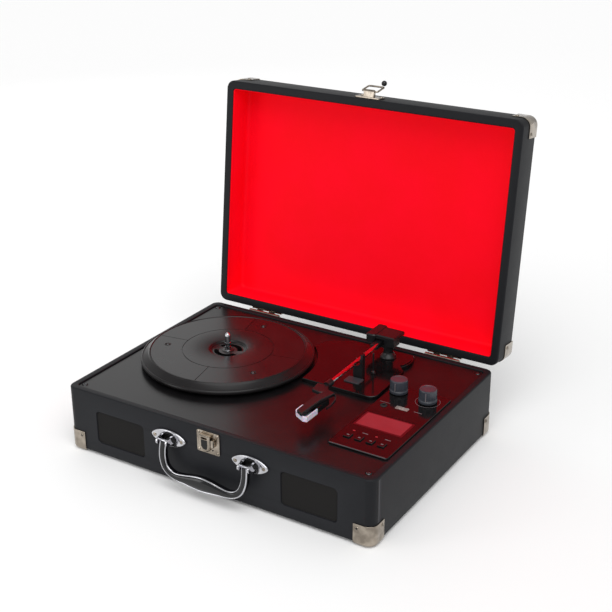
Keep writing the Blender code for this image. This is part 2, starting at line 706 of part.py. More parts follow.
# ---- drive: motor, pulley, belt, spindle with its bush, platter and pads
bm = bmesh.new()
addLathe(bm, [(0, 0.0380), (0.0150, 0.0380), (0.0160, 0.0390), (0.0160, 0.0610), (0.0150, 0.0620),
              (0.0, 0.0620)],
         place(motorX, motorY, 0), seg=24)
motor = build("motor", bm, steel, origin, True)
bm = bmesh.new()
addLathe(bm, [(0, 0.0610), (0.0010, 0.0610), (0.0010, 0.0725), (0, 0.0725)], place(motorX, motorY, 0),
         seg=12)
fuse(motor, cutter("motor_shaft", bm))
bm = bmesh.new()
addLathe(bm, [(0.00106, 0.0664), (0.0062, 0.0664), (0.0062, 0.0671), (pulleyR, 0.0675), (pulleyR, 0.0712),
              (0.0062, 0.0716), (0.0062, 0.0722), (0.0030, 0.0726), (0.00106, 0.0726)],
         place(motorX, motorY, 0), seg=20)
build("motor_pulley", bm, rubber, place(motorX, motorY, 0.069), True)

bm = bmesh.new()
sepV = Vector((motorX - platX, motorY - platY))
sep = sepV.length
heading = math.degrees(math.atan2(sepV.y, sepV.x))
beltIn = ringR + 0.0003
wrap = math.degrees(math.acos((beltIn - pulleyR - 0.0001) / sep))
loopLine = arcPts(platX, platY, beltIn + 0.0008, heading + wrap, heading + 360.0 - wrap, 30)
loopLine += arcPts(motorX, motorY, pulleyR + 0.0006, heading - wrap, heading + wrap, 6)
n = len(loopLine)
rings = []
for i in range(n):
    p = Vector(loopLine[i])
    t = (Vector(loopLine[(i + 1) % n]) - Vector(loopLine[i - 1])).normalized()
    side = Vector((t.y, -t.x))
    rings.append([place(p.x + side.x * a, p.y + side.y * a, z)
                  for a, z in ((-0.0004, 0.0680), (0.0004, 0.0680), (0.0004, 0.0706), (-0.0004, 0.0706))])
addLoft(bm, rings, closed=True)
build("drive_belt", bm, rubber, origin)

bm = bmesh.new()
addLathe(bm, [(spindleR + 0.00005, 0.0570), (0.0056, 0.0570), (0.0056, 0.0605), (0.0100, 0.0605),
              (0.0100, 0.0634),
              (0.0060, 0.0634), (0.0060, 0.0694), (spindleR + 0.00005, 0.0694)], place(platX, platY, 0),
         seg=24)
build("spindle_bush", bm, steel, origin, True)
bm = bmesh.new()
addLathe(bm, [(0, 0.0540), (spindleR, 0.0540), (spindleR, 0.0925), (0.0031, 0.0943), (0.0022, 0.0957),
              (0.0011, 0.0965),
              (0, 0.0967)], place(platX, platY, 0), seg=24)
build("spindle", bm, chrome, place(platX, platY, 0), True)

bm = bmesh.new()
platterShape = [(0.0036, 0.0698), (0.0036, 0.0770), (0.0060, 0.0770), (0.0065, 0.0764), (0.0178, 0.0764),
                (0.0188, 0.0772), (0.0196, 0.0784), (0.0202, 0.0790), (0.0820, 0.0790), (0.0828, 0.0784),
                (0.0840, 0.0780),
                (platR - 0.0019, 0.0736), (platR - 0.0002, 0.0726), (platR, 0.0716),
                (platR - 0.0002, 0.0706),
                (platR - 0.0010, 0.0698), (platR - 0.0040, 0.0698), (0.0865, 0.0745), (ringR, 0.0755),
                (ringR, 0.0702), (0.0585, 0.0702),
                (0.0585, 0.0755), (0.0220, 0.0755), (0.0205, 0.0740), (0.0200, 0.0698)]
addLathe(bm, platterShape, place(platX, platY, 0), seg=40)
platter = build("platter", bm, deckBlack, place(platX, platY, 0), True)
bm = bmesh.new()
for a0 in (20.0, 200.0):
    outer = arcPts(platX, platY, 0.0150, a0, a0 + 140.0, 12)
    inner = arcPts(platX, platY, 0.0098, a0 + 140.0, a0, 12)
    addPrism(bm, outer + inner, 0.0680, 0.0784)
padAngles = (-157.0, 89.0, -32.0)
padAt = [(platX + 0.0655 * math.cos(math.radians(a)),
          platY + 0.0655 * math.sin(math.radians(a))) for a in padAngles]
cut(platter, cutter("platter_slots", bm))
bm = bmesh.new()
for px, py in padAt:
    addLathe(bm, [(0, 0.0780), (0.0032, 0.0780), (0.0032, 0.0792), (0.0027, 0.0797), (0, 0.0797)],
             place(px, py, 0), seg=12)
fuse(platter, cutter("platter_pads", bm))

# ---- tonearm
bm = bmesh.new()
edge = [p for p in arcPts(platX, platY, 0.0945, 46.0, 0.0, 16) if p[1] > 0.0105]
outline = edge + [(0.0195, 0.0057)]
outline += roundPoly([(0.0200, 0.0055, 0.0), (0.1045, 0.0050, 0.0090), (0.1005, 0.0740, 0.0)], 5)[1:8]
outline += arcPts(pivotX, pivotY, 0.0275, -32.0, 38.0, 8)
outline += roundPoly([(0.0800, 0.1120, 0.0), (0.0200, 0.1120, 0.0120), (-0.0060, 0.0960, 0.0060),
                      edge[0] + (0.0,)], 4)[1:11]
addPrism(bm, outline, deckTop + gap, plateTop, 0.0006)
plate = build("arm_plate", bm, glossBlack, origin)
bm = bmesh.new()
addLathe(bm, [(0, -0.02), (0.0046, -0.02), (0.0046, 0.02), (0, 0.02)], place(pivotX, pivotY, 0.068), seg=20)
cut(plate, cutter("arm_plate_bore", bm))
bm = bmesh.new()
out2 = arcPts(pivotX, pivotY, 0.0255, -30.0, 36.0, 12)
in2 = arcPts(pivotX, pivotY, 0.0241, 36.0, -30.0, 12)
addPrism(bm, out2 + in2, 0.0690, plateTop + 0.0008)
fuse(plate, cutter("arm_plate_rib", bm))

bm = bmesh.new()
addLathe(bm, [(0.00345, 0.0706), (0.0086, 0.0706), (0.0086, 0.0720), (0.0074, 0.0734), (0.0046, 0.0760),
              (0.0042, 0.0768),
              (0.00345, 0.0768)], place(pivotX, pivotY, 0), seg=24)
build("arm_pivot_cone", bm, deckBlack, origin, True)

pivot = place(pivotX, pivotY, 0)
bm = bmesh.new()
addLathe(bm, [(0, 0.0662), (0.0034, 0.0662), (0.0034, 0.0900), (0, 0.0900)], pivot, seg=20)
turret = build("arm_turret", bm, deckBlack, pivot, True)
bm = bmesh.new()
addPrism(bm, [(0.0686, 0.0885), (0.0807, 0.0885), (0.0807, 0.1015), (0.0686, 0.1015)], 0.0850, 0.0925,
         0.0008)
fuse(turret, cutter("turret_block", bm))
bm = bmesh.new()
addPrism(bm, [(0.0592, 0.0884), (0.0810, 0.0884), (0.0810, 0.1120), (0.0592, 0.1120)], 0.0918, 0.0960,
         0.0010)
fuse(turret, cutter("turret_cover", bm))
bm = bmesh.new()
addLathe(bm, [(0, 0.0592), (0.0012, 0.0592), (0.0012, 0.0700), (0, 0.0700)], place(0, liftY, liftZ),
         (1, 0, 0), 14)
fuse(turret, cutter("turret_pin", bm))

lift = place(pivotX - 0.0074, liftY, liftZ)
bm = bmesh.new()
addPrism(bm, [(0.0598, 0.0760), (0.0672, 0.0760), (0.0672, 0.1060), (0.0598, 0.1060)], 0.0846, 0.0899,
         0.0006)
carrier = build("arm_carrier", bm, deckBlack, lift)
bm = bmesh.new()
addLathe(bm, [(0, 0.050), (0.00127, 0.050), (0.00127, 0.072), (0, 0.072)], place(0, liftY, liftZ),
         (1, 0, 0), 14)
addLathe(bm, [(0, -0.03), (0.0024, -0.03), (0.0024, 0.0080), (0, 0.0080)],
         place(0.0652, 0.0740, tubeZ), (place(0.0652, 0.0810, tubeZ) - place(0.0675, -0.0190,
                                                                             tubeZ)).normalized(), 18)
cut(carrier, cutter("carrier_bores", bm))

bm = bmesh.new()
pts = roundRect(0.0470, 0.0586, 0.0880, 0.1180, 0.0030, 3)
addPrism(bm, pts, 0.0855, 0.0950, 0.0012, 0.0008)
weight = build("arm_counterweight", bm, glossBlack, lift)
bm = bmesh.new()
addPrism(bm, [(0.0560, 0.0972), (0.0595, 0.0972), (0.0595, 0.1050), (0.0560, 0.1050)], 0.0862, 0.0895)
fuse(weight, cutter("weight_neck", bm))

tubeA = place(0.0652, 0.0810, tubeZ)
tubeB = place(0.0675, -0.0190, tubeZ)
bm = bmesh.new()
addLathe(bm, [(0, 0), (tubeR, 0), (tubeR, (tubeB - tubeA).length), (0, (tubeB - tubeA).length)], tubeA,
         (tubeB - tubeA).normalized(), 18)
build("arm_tube", bm, chrome, lift, True)

headZ = 0.0895
headLow = 0.0863
bm = bmesh.new()
shell = [(0.0740, -0.0340), (0.0696, -0.0530), (0.0706, -0.0845), (0.0784, -0.0892), (0.0795, -0.0570),
         (0.0842, -0.0372)]
addPrism(bm, shell, headLow, headZ, 0.0006)
head = build("headshell", bm, deckBlack, lift)
bm = bmesh.new()
addPrism(bm, [(0.0583, -0.0275), (0.0608, -0.0417), (0.0698, -0.0435), (0.0752, -0.0405), (0.0748, -0.0345),
              (0.0705, -0.0270), (0.0700, -0.0215), (0.0650, -0.0212), (0.0650, -0.0268)], headLow, headZ,
         0.0006)
fuse(head, cutter("head_block", bm))
bm = bmesh.new()
addLathe(bm, [(0, -0.003), (0.0036, -0.003), (0.0036, 0.0062), (0, 0.0062)], place(0.0675, -0.0230, tubeZ),
         (0, 1, 0), 16)
fuse(head, cutter("head_collar", bm))
bm = bmesh.new()
addLathe(bm, [(0, -0.0006), (0.0024, -0.0006), (0.0024, 0.02), (0, 0.02)], place(0.0675, -0.0190, tubeZ),
         (tubeA - tubeB).normalized(), 18)
cut(head, cutter("head_bore", bm))
bm = bmesh.new()
lever = [(0.0822, -0.0375, 0.0876), (0.0862, -0.0400, 0.0874), (0.0890, -0.0455, 0.0862),
         (0.0895, -0.0530, 0.0850),
         (0.0888, -0.0610, 0.0846)]
rings = []
for x, y, z in lever:
    rings.append([place(x - 0.0005, y, z - 0.0012), place(x + 0.0005, y, z - 0.0012),
                  place(x + 0.0005, y, z + 0.0012),
                  place(x - 0.0005, y, z + 0.0012)])
addLoft(bm, rings)
fuse(head, cutter("finger_lift", bm))

bm = bmesh.new()
addPrism(bm, [(0.0712, -0.0660), (0.0828, -0.0660), (0.0828, -0.0462), (0.0712, -0.0462)], 0.0801,
         headLow - gap, 0.0, 0.0006)
cart = build("cartridge", bm, rubber, lift)
bm = bmesh.new()
addPrism(bm, [(0.0690, -0.0790), (0.0772, -0.0836), (0.0790, -0.0600), (0.0690, -0.0600)], 0.0830,
         headLow - gap)
fuse(cart, cutter("cart_nose", bm))
bm = bmesh.new()
rings = []
for y, z, r in ((-0.0740, 0.0838, 0.0006), (-0.0796, 0.0823, 0.0005), (-0.0806, 0.0816, 0.0003)):
    rings.append([place(0.0735 + a, y + b, z) for a, b in circle(r, 8)])
addLoft(bm, rings)
fuse(cart, cutter("stylus_tip", bm))

# guard: thin pale trough slipped under the head, open at the rear
bm = bmesh.new()
gx0, gx1 = 0.0663, 0.0832
outer = [(gx0, -0.0680), (gx0, -0.0800), (gx0 + 0.0020, -0.0822), (0.0790, -0.0880), (gx1, -0.0870),
         (gx1, -0.0680)]
addPrism(bm, outer, 0.0800, 0.0860, 0.0, 0.0006)
guard = build("stylus_guard", bm, guardClear, lift)
bm = bmesh.new()
innerG = [(gx0 + 0.0010, -0.0600), (gx0 + 0.0010, -0.0796), (gx0 + 0.0026, -0.0813), (0.0788, -0.0869),
          (gx1 - 0.0010, -0.0862), (gx1 - 0.0010, -0.0600)]
addPrism(bm, innerG, 0.0810, 0.0900)
cut(guard, cutter("guard_hollow", bm))

# arm rest: post with a low left shoulder and a tall right prong
bm = bmesh.new()
rest = [(0.0629, plateTop + gap), (0.0739, plateTop + gap), (0.0739, 0.0965), (0.0730, 0.0975),
        (0.0722, 0.0975),
        (0.0712, 0.0962), (0.0706, 0.0868), (0.0694, 0.0852), (0.0640, 0.0838), (0.0629, 0.0820)]
addLoft(bm, [[place(x, 0.0395, z) for x, z in rest], [place(x, 0.0345, z) for x, z in rest]])
build("arm_rest", bm, deckBlack, origin)
bm = bmesh.new()
addLathe(bm, [(0, plateTop + gap), (0.0024, plateTop + gap), (0.0024, 0.0712), (0.0020, 0.0730),
              (0.0009, 0.0742),
              (0.0009, 0.0936), (0.0006, 0.0942), (0, 0.0942)], place(0.0770, 0.0515, 0), seg=14)
build("cue_rod", bm, glossBlack, origin, True)

# ---- control panel, window, buttons, knobs, sockets
bm = bmesh.new()
panel = roundRect(0.1055, 0.1685, -0.0885, 0.0470, 0.0030, 4)
addPrism(bm, panel, deckTop + gap, panelTop, 0.0005)
panelOb = build("control_panel", bm, glossBlack, origin)
winRect = (0.1085, 0.1610, -0.0465, -0.0170)
buttonsAt = [(0.1170, -0.0690), (0.1290, -0.0690), (0.1410, -0.0690), (0.1530, -0.0690)]
knobsAt = [(0.1161, 0.0337), (0.1503, 0.0297)]
bm = bmesh.new()
addPrism(bm, roundRect(winRect[0] - 0.0003, winRect[1] + 0.0003, winRect[2] - 0.0003, winRect[3] + 0.0003,
                       0.0010, 2),
         0.0600, 0.0720)
for bx, by in buttonsAt:
    addPrism(bm, roundRect(bx - 0.0038, bx + 0.0038, by - 0.0043, by + 0.0043, 0.0008, 2), 0.0600, 0.0720)
for kx, ky in knobsAt:
    addLathe(bm, [(0, 0.0600), (0.0035, 0.0600), (0.0035, 0.0720), (0, 0.0720)], place(kx, ky, 0), seg=16)
addLathe(bm, [(0, 0.0600), (0.0038, 0.0600), (0.0038, 0.0720), (0, 0.0720)], place(0.1168, 0.0011, 0),
         seg=16)
addPrism(bm, roundRect(0.1284, 0.1424, 0.0010, 0.0070, 0.0008, 2), 0.0600, 0.0720)
panelCut = cutter("cut_panel", bm)
cut(panelOb, panelCut)
cut(deck, panelCut)

bm = bmesh.new()
addPrism(bm, roundRect(winRect[0], winRect[1], winRect[2], winRect[3], 0.0008, 2), 0.0620, 0.0676)
build("display_window", bm, glass, origin)
for i, (bx, by) in enumerate(buttonsAt):
    bm = bmesh.new()
    addPrism(bm, roundRect(bx - 0.0035, bx + 0.0035, by - 0.0040, by + 0.0040, 0.0006, 2), 0.0600, 0.0692,
             0.0004)
    build("button_%d" % (i + 1), bm, deckBlack, place(bx, by, 0.065))
for i, (kx, ky) in enumerate(knobsAt):
    bm = bmesh.new()
    addLathe(bm, [(0, 0.0606), (0.0031, 0.0606), (0.0031, 0.0686), (0.0093, 0.0686), (knobR, 0.0692),
                  (0.0090, panelTop + knobH - 0.0008), (0.0084, panelTop + knobH), (0.0, panelTop + knobH)],
             place(kx, ky, 0), seg=28)
    build("knob_%d" % (i + 1), bm, knobGrey, place(kx, ky, panelTop), True)
bm = bmesh.new()
addLathe(bm, [(0.0019, 0.0620), (0.0036, 0.0620), (0.0036, 0.0679), (0.0030, 0.0688), (0.0022, 0.0688),
              (0.0019, 0.0684)],
         place(0.1168, 0.0011, 0), seg=20)
build("audio_jack", bm, rubber, origin, True)
bm = bmesh.new()
usbOut = roundRect(0.1287, 0.1421, 0.0013, 0.0067, 0.0006, 2)
usbIn = roundRect(0.1293, 0.1415, 0.0018, 0.0062, 0.0004, 2)
addLoft(bm, [[place(x, y, 0.0590) for x, y in usbOut], [place(x, y, 0.0681) for x, y in usbOut],
             [place(x, y, 0.0681) for x, y in usbIn], [place(x, y, 0.0600) for x, y in usbIn]])
usb = build("usb_socket", bm, steel, origin)
bm = bmesh.new()
addPrism(bm, [(0.1304, 0.0038), (0.1404, 0.0038), (0.1404, 0.0054), (0.1304, 0.0054)], 0.0596, 0.0674)
fuse(usb, cutter("usb_tongue", bm))

bm = bmesh.new()
addPrism(bm, [(0.1050, -0.0880), (0.1590, -0.0880), (0.1590, 0.0460), (0.1050, 0.0460)], 0.0560, 0.0576)
build("circuit_board", bm, boardGreen, origin)

# ---- socket plate in the rear wall
bm = bmesh.new()
pts = roundRect(jackX - 0.0257, jackX + 0.0257, jackZ - 0.0097, jackZ + 0.0097, 0.0018, 2)
addLoft(bm, [[place(x, halfD - 0.0034, z) for x, z in pts], [place(x, halfD - 0.0010, z) for x, z in pts]])
jackPlate = build("rear_jack_plate", bm, deckBlack, origin)
bm = bmesh.new()
for ex, r in ((-0.0160, 0.0045), (0.0020, 0.0045), (0.0160, 0.0038)):
    addLathe(bm, [(0, -0.0100), (r, -0.0100), (r, 0.0014), (0, 0.0014)],
             place(jackX + ex, halfD - 0.0014, jackZ), (0, 1, 0), 12)
fuse(jackPlate, cutter("jack_barrels", bm))
bm = bmesh.new()
for ex in (-0.0160, 0.0020):
    addLathe(bm, [(0, -0.0080), (0.0016, -0.0080), (0.0016, 0.0100), (0, 0.0100)],
             place(jackX + ex, halfD - 0.0014, jackZ), (0, 1, 0), 10)
addLathe(bm, [(0.0008, -0.0070), (0.0027, -0.0070), (0.0027, 0.0100), (0.0008, 0.0100)],
         place(jackX + 0.0160, halfD - 0.0014, jackZ), (0, 1, 0), 12)
cut(jackPlate, cutter("jack_bores", bm))
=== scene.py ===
import bpy
import bmesh
import math
from mathutils import Matrix, Vector


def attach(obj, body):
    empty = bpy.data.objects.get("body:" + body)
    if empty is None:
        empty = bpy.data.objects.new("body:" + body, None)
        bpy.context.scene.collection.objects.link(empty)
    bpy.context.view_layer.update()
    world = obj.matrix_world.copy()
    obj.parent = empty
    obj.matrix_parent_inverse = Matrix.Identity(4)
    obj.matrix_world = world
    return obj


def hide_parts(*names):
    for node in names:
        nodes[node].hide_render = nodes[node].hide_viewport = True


# Suitcase record player: leathercloth case, red lined lid, black deck, platter, tonearm and controls.
# Lengths are in metres. x runs right, y back and z up, from the middle of the case's underside.

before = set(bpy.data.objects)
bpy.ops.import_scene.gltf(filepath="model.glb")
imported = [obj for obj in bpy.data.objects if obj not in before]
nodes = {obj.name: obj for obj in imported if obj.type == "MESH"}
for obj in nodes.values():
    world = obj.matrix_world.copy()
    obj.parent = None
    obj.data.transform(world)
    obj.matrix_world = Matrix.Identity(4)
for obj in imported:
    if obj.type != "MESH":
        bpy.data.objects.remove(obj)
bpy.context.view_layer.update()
print("frame loaded:", len(nodes), "nodes")

# outside sizes that several pieces share
case = {"w": 0.355, "d": 0.2576, "h": 0.0677, "foot": 0.003, "wall": 0.0075, "corner": 0.009, "y": -0.02767}
lid = {"t": 0.036, "wall": 0.0088, "lean": math.radians(6.34), "back": 0.00784, "rise": -0.00008}
top = {"ledge": 0.0634, "armPlate": 0.0703, "panel": 0.0679}
halfW = case["w"] / 2
halfD = case["d"] / 2
gap = 0.0003  # clearance between neighbouring parts


def place(x, y, z):
    return Vector((x, y + case["y"], z + case["foot"]))


def lidPlace(x, up, back):
    # a point on the open lid: up from its hinge edge, and back from its rim
    y = halfD + lid["back"] + up * math.sin(lid["lean"]) + back * math.cos(lid["lean"])
    z = case["h"] + lid["rise"] + up * math.cos(lid["lean"]) - back * math.sin(lid["lean"])
    return place(x, y, z)


def roundRect(x0, x1, y0, y1, r, seg=8):
    line = []
    corners = ((x1 - r, y1 - r, 0), (x0 + r, y1 - r, 90), (x0 + r, y0 + r, 180), (x1 - r, y0 + r, 270))
    for cx, cy, start in corners:
        for i in range(seg + 1):
            a = math.radians(start + 90.0 * i / seg)
            line.append((cx + r * math.cos(a), cy + r * math.sin(a)))
    return line


def circle(r, seg):
    turns = [2 * math.pi * i / seg for i in range(seg)]
    return [(r * math.cos(a), r * math.sin(a)) for a in turns]


def arcLine(cx, cy, r, a0, a1, n):
    turns = [math.radians(a0 + (a1 - a0) * i / n) for i in range(n + 1)]
    return [(cx + r * math.cos(a), cy + r * math.sin(a)) for a in turns]


def quarter(n):
    # a quarter round in n steps, as shares of its radius
    turns = [math.radians(90.0 * i / n) for i in range(n + 1)]
    return [(1 - math.sin(a), 1 - math.cos(a)) for a in turns]


def superOval(w, h, bendW, bendH, seg=48):
    line = []
    for a in [2 * math.pi * i / seg for i in range(seg)]:
        c, s = math.cos(a), math.sin(a)
        line.append((w * math.copysign(abs(c) ** bendW, c), h * math.copysign(abs(s) ** bendH, s)))
    return line


def finishMesh(name, bm, mat, sharp=35):
    bmesh.ops.recalc_face_normals(bm, faces=bm.faces)
    mesh = bpy.data.meshes.new(name)
    bm.to_mesh(mesh)
    bm.free()
    ob = bpy.data.objects.new(name, mesh)
    bpy.context.scene.collection.objects.link(ob)
    if mat is not None:
        mesh.materials.append(mat)
    mesh.shade_smooth()
    mesh.set_sharp_from_angle(angle=math.radians(sharp))
    return ob


def skin(bm, rings, closed=False):
    # faces between rings of equal length, capped at both ends unless the last joins the first
    rows = [[bm.verts.new(p) for p in ring] for ring in rings]
    n = len(rows[0])
    for i in range(len(rows) if closed else len(rows) - 1):
        a = rows[i]
        b = rows[(i + 1) % len(rows)]
        for k in range(n):
            bm.faces.new((a[k], a[(k + 1) % n], b[(k + 1) % n], b[k]))
    if not closed:
        bm.faces.new(list(reversed(rows[0])))
        bm.faces.new(rows[-1])


def turned(bm, profile, centre, axis=(0, 0, 1), seg=64):
    # a lathe: radius and height pairs, spun round the axis
    rot = Vector((0, 0, 1)).rotation_difference(Vector(axis)).to_matrix()
    columns = []
    for i in range(seg):
        a = 2 * math.pi * i / seg
        column = []
        for k, (r, h) in enumerate(profile):
            if r < 1e-7 and i > 0:
                column.append(columns[0][k])
            else:
                column.append(bm.verts.new(centre + rot @ Vector((r * math.cos(a), r * math.sin(a), h))))
        columns.append(column)
    n = len(profile)
    solidCore = profile[0][0] < 1e-7 and profile[-1][0] < 1e-7
    for i in range(seg):
        a = columns[i]
        b = columns[(i + 1) % seg]
        for k in range(n - 1 if solidCore else n):
            face = []
            for v in (a[k], b[k], b[(k + 1) % n], a[(k + 1) % n]):
                if v not in face:
                    face.append(v)
            if len(face) > 2:
                bm.faces.new(face)


def prism(bm, outline, z0, z1):
    skin(bm, [[place(x, y, z0) for x, y in outline], [place(x, y, z1) for x, y in outline]])


def bevel(ob, width):
    mod = ob.modifiers.new("edge", "BEVEL")
    mod.width = width
    mod.segments = 2
    mod.limit_method = "ANGLE"
    mod.angle_limit = math.radians(30)
    mod.harden_normals = True


def carve(ob, tool):
    mod = ob.modifiers.new("carve", "BOOLEAN")
    mod.operation = "DIFFERENCE"
    mod.solver = "EXACT"
    mod.object = tool
    bpy.context.view_layer.update()
    cut = bpy.data.meshes.new_from_object(ob.evaluated_get(bpy.context.evaluated_depsgraph_get()))
    ob.modifiers.clear()
    old = ob.data
    ob.data = cut
    bpy.data.meshes.remove(old)
    bpy.data.objects.remove(tool)
    cut.shade_smooth()
    cut.set_sharp_from_angle(angle=math.radians(35))


def sRgb(code):
    out = []
    for i in (1, 3, 5):
        c = int(code[i:i + 2], 16) / 255.0
        out.append(c / 12.92 if c <= 0.04045 else ((c + 0.055) / 1.055) ** 2.4)
    return (out[0], out[1], out[2], 1.0)


def perMetre(mm):
    # how many times a pattern of this size repeats in a metre
    return 1000.0 / mm


def addNode(tree, kind, values=None, links=None, feeds=None, **settings):
    node = tree.nodes.new(kind)
    for key, value in settings.items():
        setattr(node, key, value)
    for key, value in (values or {}).items():
        node.inputs[key].default_value = value
    for key, source in (links or {}).items():
        tree.links.new(source, node.inputs[key])
    if feeds is not None:
        tree.links.new(node.outputs[0], feeds)
    return node


def newMaterial(name, **sockets):
    mat = bpy.data.materials.new(name)
    mat.use_nodes = True
    tree = mat.node_tree
    shader = tree.nodes["Principled BSDF"]
    for key, value in sockets.items():
        shader.inputs[key.replace("_", " ")].default_value = value
    spot = addNode(tree, "ShaderNodeTexCoord").outputs["Object"]
    return mat, tree, shader, spot


def mottle(tree, shader, factor, dark, light, low=0.35, high=0.65):
    # colour that wanders between two close tones
    spread = addNode(tree, "ShaderNodeMapRange", {"From Min": low, "From Max": high}, {"Value": factor})
    mix = addNode(tree, "ShaderNodeMix", {6: sRgb(dark), 7: sRgb(light)}, {0: spread.outputs[0]},
                  data_type="RGBA")
    tree.links.new(mix.outputs[2], shader.inputs["Base Color"])


leather = {"dark": "#131417", "light": "#1b1c1f", "edgeHighlight": "#46474d", "rough": (0.40, 0.52),
           "pebble": 1.111, "crease": 0.4545, "cloud": 16.67}  # the last three in mm


def embossedLeathercloth():
    # PVC leathercloth with an embossed pebble grain: a matt charcoal that breaks up the highlights,
    # painted a little paler along the edges as a highlight where they catch the light
    mat, tree, shader, spot = newMaterial("embossedLeathercloth", Specular_IOR_Level=0.15)
    pebble = addNode(tree, "ShaderNodeTexVoronoi", {"Scale": perMetre(leather["pebble"])}, {"Vector": spot},
                     feature="SMOOTH_F1")
    crease = addNode(tree, "ShaderNodeTexNoise", {"Scale": perMetre(leather["crease"]), "Detail": 3.0},
                     {"Vector": spot})
    cloud = addNode(tree, "ShaderNodeTexNoise",
                    {"Scale": perMetre(leather["cloud"]), "Detail": 5.0, "Roughness": 0.7},
                    {"Vector": spot})
    grain = addNode(tree, "ShaderNodeMath", {}, {0: pebble.outputs["Distance"], 1: crease.outputs["Fac"]},
                    operation="ADD")
    # convex edges, found by pointiness, get a painted highlight: a paler colour, not wear
    ridge = addNode(tree, "ShaderNodeNewGeometry").outputs["Pointiness"]
    edgeHighlightMask = addNode(tree, "ShaderNodeMapRange", {"From Min": 0.53, "From Max": 0.64, "To Max": 0.8},
                   {"Value": ridge})
    tone = addNode(tree, "ShaderNodeMix", {6: sRgb(leather["dark"]), 7: sRgb(leather["light"])},
                   {0: cloud.outputs["Fac"]}, data_type="RGBA")
    edgeHighlight = addNode(tree, "ShaderNodeMix", {7: sRgb(leather["edgeHighlight"])},
                     {0: edgeHighlightMask.outputs[0], 6: tone.outputs[2]}, data_type="RGBA")
    tree.links.new(edgeHighlight.outputs[2], shader.inputs["Base Color"])
    addNode(tree, "ShaderNodeMapRange", {"To Min": leather["rough"][0], "To Max": leather["rough"][1]},
            {"Value": cloud.outputs["Fac"]}, shader.inputs["Roughness"])
    addNode(tree, "ShaderNodeBump", {"Strength": 0.5, "Distance": 0.00010}, {"Height": grain.outputs[0]},
            shader.inputs["Normal"])
    return mat


flock = {"dark": "#fb0018", "light": "#ff001e", "rough": (0.55, 0.70),
         "fibre": 0.7143, "cloud": 45.45}  # the last two in mm


def redFlockPaper():
    # flocked lining paper: even, soft and very saturated, with almost no shine
    mat, tree, shader, spot = newMaterial("redFlockPaper", Specular_IOR_Level=0.08)
    fibre = addNode(tree, "ShaderNodeTexNoise", {"Scale": perMetre(flock["fibre"]), "Detail": 4.0},
                    {"Vector": spot})
    cloud = addNode(tree, "ShaderNodeTexNoise", {"Scale": perMetre(flock["cloud"]), "Detail": 4.0},
                    {"Vector": spot})
    mottle(tree, shader, cloud.outputs["Fac"], flock["dark"], flock["light"])
    addNode(tree, "ShaderNodeMapRange", {"To Min": flock["rough"][0], "To Max": flock["rough"][1]},
            {"Value": cloud.outputs["Fac"]}, shader.inputs["Roughness"])
    addNode(tree, "ShaderNodeBump", {"Strength": 0.25, "Distance": 0.00010},
            {"Height": fibre.outputs["Fac"]}, shader.inputs["Normal"])
    return mat


def mouldedPlastic(name, dark, light, rough, grain, shine):
    # injection moulded plastic: a fine spark-eroded grain softens the reflections
    mat, tree, shader, spot = newMaterial(name, Specular_IOR_Level=shine)
    spark = addNode(tree, "ShaderNodeTexNoise", {"Scale": perMetre(0.5556), "Detail": 2.0},
                    {"Vector": spot})
    cloud = addNode(tree, "ShaderNodeTexNoise", {"Scale": perMetre(22.22), "Detail": 4.0}, {"Vector": spot})
    mottle(tree, shader, cloud.outputs["Fac"], dark, light)
    addNode(tree, "ShaderNodeMapRange", {"To Min": rough * 0.92, "To Max": rough * 1.1},
            {"Value": cloud.outputs["Fac"]}, shader.inputs["Roughness"])
    addNode(tree, "ShaderNodeBump", {"Strength": grain, "Distance": 0.00004},
            {"Height": spark.outputs["Fac"]}, shader.inputs["Normal"])
    return mat


def platedMetal(name, dark, light, rough, dents):
    # thin bright plate over pressed steel: slightly wavy reflections and hairline rubbing marks
    mat, tree, shader, spot = newMaterial(name, Metallic=1.0)
    wave = addNode(tree, "ShaderNodeTexNoise", {"Scale": perMetre(9.091), "Detail": 2.0}, {"Vector": spot})
    stretch = (perMetre(0.3333), perMetre(8.333), perMetre(8.333))
    hair = addNode(tree, "ShaderNodeMapping", {"Scale": stretch}, {"Vector": spot})
    mark = addNode(tree, "ShaderNodeTexNoise", {"Scale": 1.0, "Detail": 3.0}, {"Vector": hair.outputs[0]})
    # the colour drifts in patches along the same waves: painted reflections, plainest on the nickel
    mottle(tree, shader, wave.outputs["Fac"], dark, light)
    addNode(tree, "ShaderNodeMapRange", {"To Min": rough * 0.7, "To Max": rough * 1.4},
            {"Value": mark.outputs["Fac"]}, shader.inputs["Roughness"])
    addNode(tree, "ShaderNodeBump", {"Strength": dents, "Distance": 0.0006},
            {"Height": wave.outputs["Fac"]}, shader.inputs["Normal"])
    return mat


def wovenSpeakerCloth():
    # woven polyester speaker cloth: dull, with a plain weave of dark threads.
    # Threads are 0.9 mm apart, coarser than the real 0.5 mm so that they show
    mat, tree, shader, spot = newMaterial("wovenSpeakerCloth", Specular_IOR_Level=0.25, Roughness=0.85)
    bands = perMetre(0.8976) * math.pi / 10  # a wave's bands lie a tenth of pi apart at scale 1
    across = addNode(tree, "ShaderNodeTexWave", {"Scale": bands}, {"Vector": spot}, bands_direction="X")
    upward = addNode(tree, "ShaderNodeTexWave", {"Scale": bands}, {"Vector": spot}, bands_direction="Z")
    weave = addNode(tree, "ShaderNodeMath", {}, {0: across.outputs["Fac"], 1: upward.outputs["Fac"]},
                    operation="MAXIMUM")
    mottle(tree, shader, weave.outputs[0], "#060606", "#1b1918", 0.4, 1.0)
    addNode(tree, "ShaderNodeBump", {"Strength": 0.5, "Distance": 0.00015}, {"Height": weave.outputs[0]},
            shader.inputs["Normal"])
    return mat


